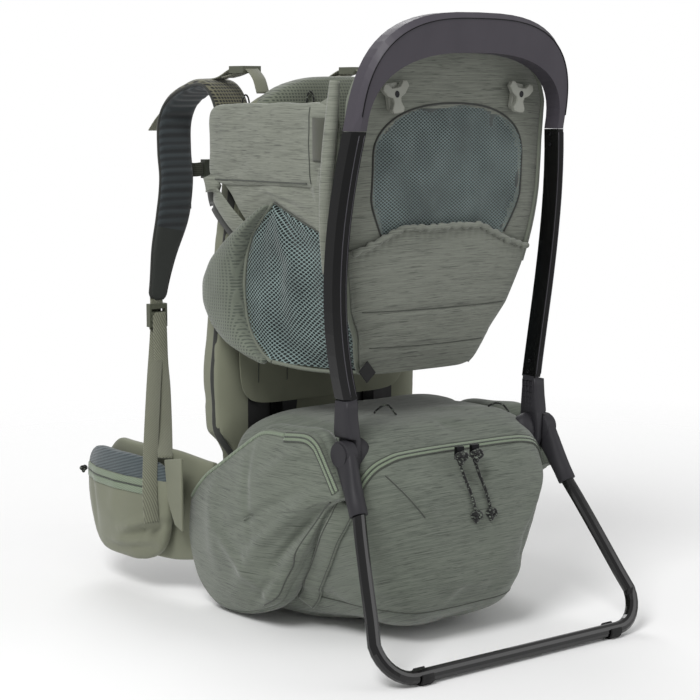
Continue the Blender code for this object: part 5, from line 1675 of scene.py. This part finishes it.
def build_seat_saddle():
    """The seat sling, sagging between its front and rear."""
    low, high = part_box("seat_saddle")
    y0, y1 = low.y - ROW_Y, high.y - ROW_Y
    z0 = low.z + 0.011

    def shape(a, b, c):
        t = (b + 1) / 2
        width = 0.085 - 0.034 * float(smoothstep(0.0, 0.6, t)) + 0.004 * float(smoothstep(0.75, 1.0, t))
        rise = 0.045 * (1 - t) ** 2.2 + 0.042 * t ** 3.5
        return at(a * width, y0 + (y1 - y0) * t, z0 + rise + c * 0.0105 + 0.010 * a * a * (1 - t) * 0.6)
    sling = piece("seat_sling", puff(22, 6.0, shape), "saddle", "heather", "heather_fabric",
                  replaces=("seat_saddle",))
    push(sling, lambda p, n: wrinkle(p, (20, 20, 20), 0.002)
         - (0.002 * math.exp(-(p.x / 0.004) ** 2) if n.z > 0.4 else 0))
    smooth_more(sling)


def build_child_harness():
    """The child's five-point harness: chest pad, straps and crotch strap."""
    low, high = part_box("harness_chest_pad")
    mid = (low + high) / 2

    def shape(a, b, c):
        half = 0.054 - 0.012 * c * c
        return Vector((a * half, mid.y + b * 0.0060, mid.z + c * 0.0415))
    pad = piece("harness_pad", puff(18, 4.0, shape), "frame", "front", "heather_fabric",
                replaces=("harness_chest_pad",))
    push(pad, lambda p, n: -0.0012 * math.exp(-(p.x / 0.003) ** 2) if n.y > 0.3 else 0.0)
    smooth_more(pad)
    y = mid.y - ROW_Y
    for label, side in SIDES.items():
        strap = curve([(side * 0.050, panel_rear(0.640) + 0.026, 0.640),
                       (side * 0.046, panel_rear(0.600) + 0.030, 0.600), (side * 0.040, y - 0.004, 0.550),
                       (side * 0.034, y - 0.009, 0.510)], 8)
        piece(f"harness_strap_{label}", ribbon(strap, Vector((1, 0, 0)), 0.030, 0.0060), "frame", "heather",
              "webbing")
        waist = curve([(side * 0.046, y - 0.002, 0.470), (side * 0.085, y - 0.012, 0.450),
                       (side * 0.120, y - 0.020, 0.425)], 8)
        piece(f"harness_waist_web_{label}", ribbon(waist, Vector((0, 0, 1)), 0.020, 0.0018), "frame",
              "webbing_dark",
              "webbing")
    crotch = curve([(0, y - 0.002, 0.444), (0, y + 0.004, 0.425), (0, y + 0.010, 0.412)], 8)
    piece("harness_crotch_web", ribbon(crotch, Vector((1, 0, 0)), 0.022, 0.0018), "frame", "webbing_dark",
          "webbing")


# ---- the shoulder harness ----
PAD_WIDTH = 0.050
PAD_THICK = 0.015


def pad_knots(side):
    """The shoulder pad's centre line in the carrier frame, from the yoke to its lower tip."""
    x = 0.088
    y = PAD_FRONT
    far = y + 0.174
    knots = [(0.0, y + 0.026, 0.585), (0.0, y + 0.032, 0.640), (0.0, y + 0.060, 0.668),
             (0.0, y + 0.105, 0.665), (0.0, far - 0.024, 0.648), (0.0, far - 0.002, 0.620),
             (0.0, far, 0.580), (0.0, far - 0.004, 0.540), (0.004, far, 0.492),
             (0.014, far + 0.008, 0.440), (0.024, far + 0.012, 0.375)]
    return [(side * (x + a), b, c) for a, b, c in knots]


def pad_width(s):
    """Full at the shoulder, drawn in over the last quarter to a blunt tip."""
    return PAD_WIDTH * (1 - 0.50 * float(smoothstep(0.72, 1.0, s))) * (0.90 + 0.10
                                                                       * float(smoothstep(0.0, 0.15, s)))


def build_shoulder_pads():
    for label, side in SIDES.items():
        line = even(curve(pad_knots(side), 10), 150)
        ts = tangents(line)
        count = 28
        rings = []
        tip_at = 0.78
        for i, (p, t) in enumerate(zip(line, ts)):
            s = i / (len(line) - 1)
            across = Vector((1, 0, 0))
            across = (across - t * across.dot(t)).normalized()
            normal = t.cross(across).normalized()
            half_w = pad_width(s) / 2
            thin = 1 - 0.55 * float(smoothstep(0.74, 0.95, s))
            end = math.sqrt(max(1 - max((s - 0.975) / 0.025, 0) ** 2, 0.02))
            rib = 0.0010 * math.sin(s * 52 * math.pi) * float(smoothstep(0.78, 0.74, s))
            ring = []
            for k in range(count):
                a = 2 * math.pi * (k + 0.5) / count
                c, sn = math.cos(a), math.sin(a)
                w = half_w * end * math.copysign(abs(c) ** 0.5, c)
                h = PAD_THICK / 2 * thin * end * math.copysign(abs(sn) ** 0.62, sn)
                inner = sn > 0
                h += (rib * (1 - abs(c) ** 3) if inner else 0.0)
                ring.append(p + across * w + normal * h)
            rings.append(ring)
        bm = rings_mesh(rings)
        pad = piece(f"shoulder_strap_pad_{label}", bm, "torso", "pad_outer", "strap_mesh",
                    replaces=("shoulder_pad_" + label,), extra=("pad_inner", "pad_tip", "olive"))
        rows = len(line) - 1
        for number, face in enumerate(pad.data.polygons):
            if number >= rows * count:
                face.material_index = 2
                continue
            s = (number // count) / rows
            k = number % count
            inner = math.sin(2 * math.pi * (k + 1) / count) > 0
            if s > tip_at:
                face.material_index = 2 if inner else 3
            else:
                face.material_index = 1 if inner else 0
        smooth_more(pad)
        for name, k in (("left", count // 2 - 1), ("right", count - 1)):
            edge = [rings[i][k].lerp(rings[i][(k + 1) % count], 0.5) for i in range(2, len(rings) - 1)]
            piece(f"pad_binding_{name}_{label}", tube(edge, 0.0020, 8), "torso", "binding", "strap_mesh")


# a lifter's tail over its pad: forwards of the back pad and up on the pad's line, and how far outside it
TAIL_KNOTS = [(0.060, 0.668, 0.0100), (0.105, 0.665, 0.0100), (0.138, 0.655, 0.0102), (0.157, 0.641, 0.0120),
              (0.168, 0.628, 0.0190), (0.177, 0.614, 0.0300), (0.184, 0.602, 0.0400)]


def build_lifters():
    """The load lifter webbing: from the back frame, through its buckle, down over the pad to a loose tail."""
    for label, side in SIDES.items():
        low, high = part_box("lifter_buckle_" + label)
        x = (low.x + high.x) / 2
        buckle_y = (low.y + high.y) / 2 - ROW_Y
        z = (low.z + high.z) / 2
        rear = curve([(x, buckle_y - 0.041, BACK_TOP + 0.003), (x, buckle_y - 0.032, z - 0.012),
                      (x, buckle_y - 0.018, z - 0.001), (x, buckle_y - 0.010, z + 0.0015)], 8)
        piece(f"lifter_web_{label}", ribbon(rear, Vector((1, 0, 0)), 0.0195, 0.0018), "frame", "webbing",
              "webbing", replaces=("lifter_strap_" + label,))
        tail = [(x, buckle_y + 0.008, z + 0.0030), (x, buckle_y + 0.026, z - 0.0010)]
        heart = Vector((0, PAD_FRONT + 0.095, 0.590))
        for y, pad_z, lift in TAIL_KNOTS:
            away = (Vector((0, PAD_FRONT + y, pad_z)) - heart).normalized() * lift
            tail.append((x + side * 0.05 * max(lift - 0.012, 0), PAD_FRONT + y + away.y, pad_z + away.z))
        piece(f"lifter_tail_{label}", ribbon(curve(tail, 8), Vector((1, 0, 0)), 0.0195, 0.0018), "torso",
              "webbing",
              "webbing")
        under = curve([(x, buckle_y + 0.008, z - 0.004), (x, buckle_y + 0.022, z - 0.007),
                       (x, buckle_y + 0.040, z - 0.0095)], 8)
        piece(f"lifter_anchor_{label}", ribbon(under, Vector((1, 0, 0)), 0.0195, 0.0018), "torso",
              "webbing", "webbing")


def build_shoulder_webbing():
    """The lower webbing from each hip anchor up through the ladder lock, with its free end beside it."""
    for label, side in SIDES.items():
        low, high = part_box("ladder_lock_" + label)
        x = (low.x + high.x) / 2
        y = (low.y + high.y) / 2 - ROW_Y
        top = low.z
        main = curve([(x, y, top - 0.004), (x + side * 0.010, y - 0.012, top - 0.035),
                      (side * 0.146, 0.448, 0.272), (side * 0.180, 0.398, 0.226),
                      (side * 0.2060, 0.360, 0.180), (side * 0.2145, 0.348, 0.140),
                      (side * 0.2140, 0.345, 0.104)], 10)
        piece(f"lower_web_{label}", ribbon(main, Vector((1, 0.3 * side, 0)), 0.0195, 0.0018), "frame",
              "webbing",
              "webbing", replaces=("shoulder_webbing_" + label,))
        loop = curve([(x, y + 0.0052, top + 0.026), (x, y + 0.0058, top + 0.012),
                      (x, y + 0.004, top - 0.004)], 8)
        tab = curve([(x - side * 0.001, y + 0.002, top + 0.056), (x, y + 0.0012, top + 0.040),
                     (x, y, top + 0.026)], 8)
        piece(f"lock_tab_{label}", ribbon(tab, Vector((1, 0, 0)), 0.0195, 0.0030), "torso", "webbing",
              "webbing")
        piece(f"lock_web_{label}", ribbon(loop, Vector((1, 0, 0)), 0.0195, 0.0018), "torso", "webbing",
              "webbing")
        tail = curve([(x, y - 0.0052, top + 0.020), (x + side * 0.001, y - 0.0095, top - 0.004),
                      (x + side * 0.008, y - 0.0230, top - 0.045), (side * 0.136, 0.440, 0.262),
                      (side * 0.166, 0.388, 0.214), (side * 0.188, 0.352, 0.186)], 10)
        piece(f"lower_web_tail_{label}", ribbon(tail, Vector((1, 0.3 * side, 0)), 0.0195, 0.0018), "frame",
              "webbing",
              "webbing")


def build_sternum():
    for body, node, label in (("torso", "sternum_strap_left", "left"),
                              ("sternum_half", "sternum_strap_right", "right")):
        low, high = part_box(node)
        y = (low.y + high.y) / 2 - ROW_Y
        z = (low.z + high.z) / 2
        line = curve([(low.x, y, z), ((low.x + high.x) / 2, y + 0.0006, z - 0.001), (high.x, y, z)], 8)
        piece(f"sternum_web_{label}", ribbon(line, Vector((0, 0, 1)), 0.0190, 0.0018), body, "webbing_dark",
              "webbing",
              replaces=(node,))
    for label, side in SIDES.items():
        line = curve([(side * 0.060, PAD_FRONT + 0.1795, z) for z in (0.500, 0.530, 0.560, 0.590)], 6)
        piece(f"sternum_rail_{label}", tube(line, 0.0016, 8), "torso", "binding", "strap_mesh")
    low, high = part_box("torso_yoke")

    def shape(a, b, c):
        t = (c + 1) / 2
        half = (0.060 + 0.035 * math.sin(math.pi * min(t * 0.8 + 0.1, 1)))
        return Vector((a * half, (low.y + high.y) / 2 + b * (high.y - low.y) / 2,
                       low.z + (high.z - low.z) * t))
    yoke = piece("yoke_pad", puff(20, 4.5, shape), "torso", "olive", "olive_fabric", replaces=("torso_yoke",),
                 extra=("back_mesh",))
    for face in yoke.data.polygons:
        if face.normal.y > 0.6:
            face.material_index = 1
    smooth_more(yoke)


# ---- the hip belt ----
WING_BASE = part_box("hip_wing_left")[0].z
WING_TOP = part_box("hip_wing_left")[1].z
WING_KNOTS = [(0.150, 0.286), (0.160, 0.324), (0.178, 0.392), (0.182, 0.462), (0.170, 0.537)]


def wing_line(side, count=60):
    return even(curve([(side * x, y, 0) for x, y in WING_KNOTS], 8), count)


def build_hip():
    line = wing_line(-1)
    ts = tangents(line)
    rings = []
    count = 32
    last = len(line) - 1
    z_mid = (WING_BASE + WING_TOP) / 2
    tall = (WING_TOP - WING_BASE) / 2
    for i, (p, t) in enumerate(zip(line, ts)):
        s = i / last
        end = 1 - 0.42 * float(smoothstep(0.72, 1.0, s)) - 0.12 * (1 - float(smoothstep(0.0, 0.3, s)))
        round_off = math.sqrt(max(1 - max((s - 0.94) / 0.06, 0) ** 2, 0.03))
        normal = Vector((t.y, -t.x, 0)).normalized()
        ring = []
        for k in range(count):
            a = 2 * math.pi * (k + 0.5) / count
            c, sn = math.cos(a), math.sin(a)
            h = tall * end * round_off * math.copysign(abs(c) ** 0.4, c)
            w = 0.0088 * round_off * math.copysign(abs(sn) ** 0.55, sn)
            channel = 0.0022 * (1 if sn > 0 else -1) * (math.exp(-((h / tall) / 0.05) ** 2)) * abs(sn)
            ring.append(Vector((p.x, p.y, z_mid + h)) + normal * (w - channel))
        rings.append(ring)
    left = piece("hip_pad_left", rings_mesh(rings), "hip_left", "olive", "olive_fabric",
                 replaces=("hip_wing_left",),
                 extra=("back_mesh",))
    for number, face in enumerate(left.data.polygons):
        if number < last * count and math.sin(2 * math.pi * ((number % count) + 1) / count) > 0.3:
            face.material_index = 1
    push(left, lambda p, n: wrinkle(p, (18, 18, 22), 0.0020, 1.5))
    smooth_more(left)
    right = mirror_copy(left, "hip_pad_right", "hip_right", ("hip_wing_right",))
    for a, b in zip(right.data.polygons, left.data.polygons):
        a.material_index = b.material_index
    build_hip_pockets(line, ts)


POUCH_FOLDS = [((0.340, 0.112), (0.420, 0.084), 0.0060, 0.0075),
               ((0.340, 0.100), (0.410, 0.074), 0.0045, -0.0060),
               ((0.355, 0.078), (0.450, 0.060), 0.0065, 0.0050),
               ((0.360, 0.068), (0.470, 0.052), 0.0045, -0.0040),
               ((0.500, 0.150), (0.490, 0.070), 0.0090, -0.0030),
               ((0.420, 0.155), (0.440, 0.100), 0.0120, 0.0024)]


def build_hip_pockets(line, ts):
    """The zipped pouch on each wing: a stretch top panel, a two-band zip and a folded olive body."""
    z_low, z_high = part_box("hip_pocket_left")[0].z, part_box("hip_pocket_left")[1].z
    first, last = int(len(line) * 0.20), len(line) - 1
    span = last - first

    def shape(a, b, c):
        """a runs along the wing, b outwards, c up."""
        i = first + (a + 1) / 2 * span
        k = min(int(i), last - 1)
        p = line[k].lerp(line[k + 1], i - k)
        t = ts[k]
        normal = -Vector((t.y, -t.x, 0)).normalized()
        u = (c + 1) / 2
        reach = 1 - 0.20 * (1 - u) ** 1.6
        belly = 0.6 + 0.4 * math.sin(math.pi * min(u * 0.75 + 0.1, 1))
        depth = 0.0105 + (b + 1) / 2 * 0.0255 * belly
        mid = line[(first + last) // 2]
        p = mid + (p - mid) * reach
        return Vector((p.x, p.y, z_low + (z_high - z_low) * u)) + normal * depth
    left = piece("hip_pouch_left", puff(44, 3.6, shape), "hip_left", "olive", "olive_fabric",
                 replaces=("hip_pocket_left",), extra=("stretch",))
    inflate(left, 3.0, 0.003, 0.005)

    def relief(p, n):
        flat = Vector((0, p.y, p.z))
        total = wrinkle(p, (0, 20, 20), 0.0022, 5.5)
        for a, b, width, height in POUCH_FOLDS:
            total += crease(flat, Vector((0, *a)), Vector((0, *b)), width, height)
        return total if n.x < 0.2 else 0.0
    push(left, relief)
    zip_level = z_high - 0.030
    for face in left.data.polygons:
        if face.center.z > zip_level:
            face.material_index = 1
    smooth_more(left)
    right = mirror_copy(left, "hip_pouch_right", "hip_right", ("hip_pocket_right",))
    for a, b in zip(right.data.polygons, left.data.polygons):
        a.material_index = b.material_index
    for label, side in SIDES.items():
        target = bpy.data.objects["hip_pouch_" + label]
        ys = np.linspace(line[first].y - ROW_Y + 0.012, line[last].y - ROW_Y - 0.016, 8)
        for band, shift in enumerate((0.0, -0.0105)):
            knots = [(side * 0.4, y, zip_level - 0.004 + shift) for y in ys]
            points, normals = laid(target, knots, (-side, 0, 0), 0.0008, 60)
            sides = [n.cross(t).normalized() for n, t in zip(normals, tangents(points))]
            piece(f"hip_zip_band_{band}_{label}", ribbon(points, sides, 0.0088, 0.0018), "hip_" + label,
                  "zip",
                  "olive_fabric")
        knots = [(side * 0.4, y, zip_level - 0.0092) for y in ys]
        points, _ = laid(target, knots, (-side, 0, 0), 0.0014, 60)
        piece(f"hip_zip_coil_{label}", tube(points, 0.0009, 6), "hip_" + label, "coil", "cord_black")
        end = points[-1] if points[-1].y > points[0].y else points[0]
        knot(f"hip_zip_knot_{label}", end + Vector((side * 0.002, 0.010, -0.002)), 0.0046, "hip_" + label)
        body = "hip_" + label
        wing = [[Vector((side * x, y + ROW_Y, z)) for y, z in ((0.300, 0.194), (0.342, 0.186), (0.334, 0.132),
                                                                 (0.318, 0.104), (0.300, 0.098))]
                for x in (0.1925, 0.1960)]
        gusset = piece(f"stabiliser_{label}", rings_mesh(wing), body, "olive", "olive_fabric", smooth=False)
        ease(gusset, 0.0012)
        low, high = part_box("hip_buckle_socket" if side < 0 else "hip_buckle_plug")
        mid = (low + high) / 2
        web = [mid + Vector((0, (high.y - low.y) / 2 + d, 0)) for d in (0.0, 0.006, 0.012)]
        piece(f"hip_buckle_web_{label}", ribbon(web, Vector((0, 0, 1)), 0.038, 0.0022), body,
              "webbing_dark", "webbing")


MAT["stretch"] = ribbed("stretch_knit", srgb(92, 104, 108), srgb(70, 80, 84), 0.0042, (0, 0.3, 1))


def main():
    build_stage()
    build_zip_cords()
    dress_cad()
    build_rail_details()
    build_handle_details()
    build_housings()
    build_knuckles()
    build_hinge_ribs()
    build_hooks()
    build_bag()
    build_seat_back()
    build_side_band()
    build_leg_side()
    build_front_pad()
    build_back_pad()
    build_frame_cover()
    build_seat_saddle()
    build_child_harness()
    build_shoulder_pads()
    build_lifters()
    build_shoulder_webbing()
    build_sternum()
    build_hip()


main()
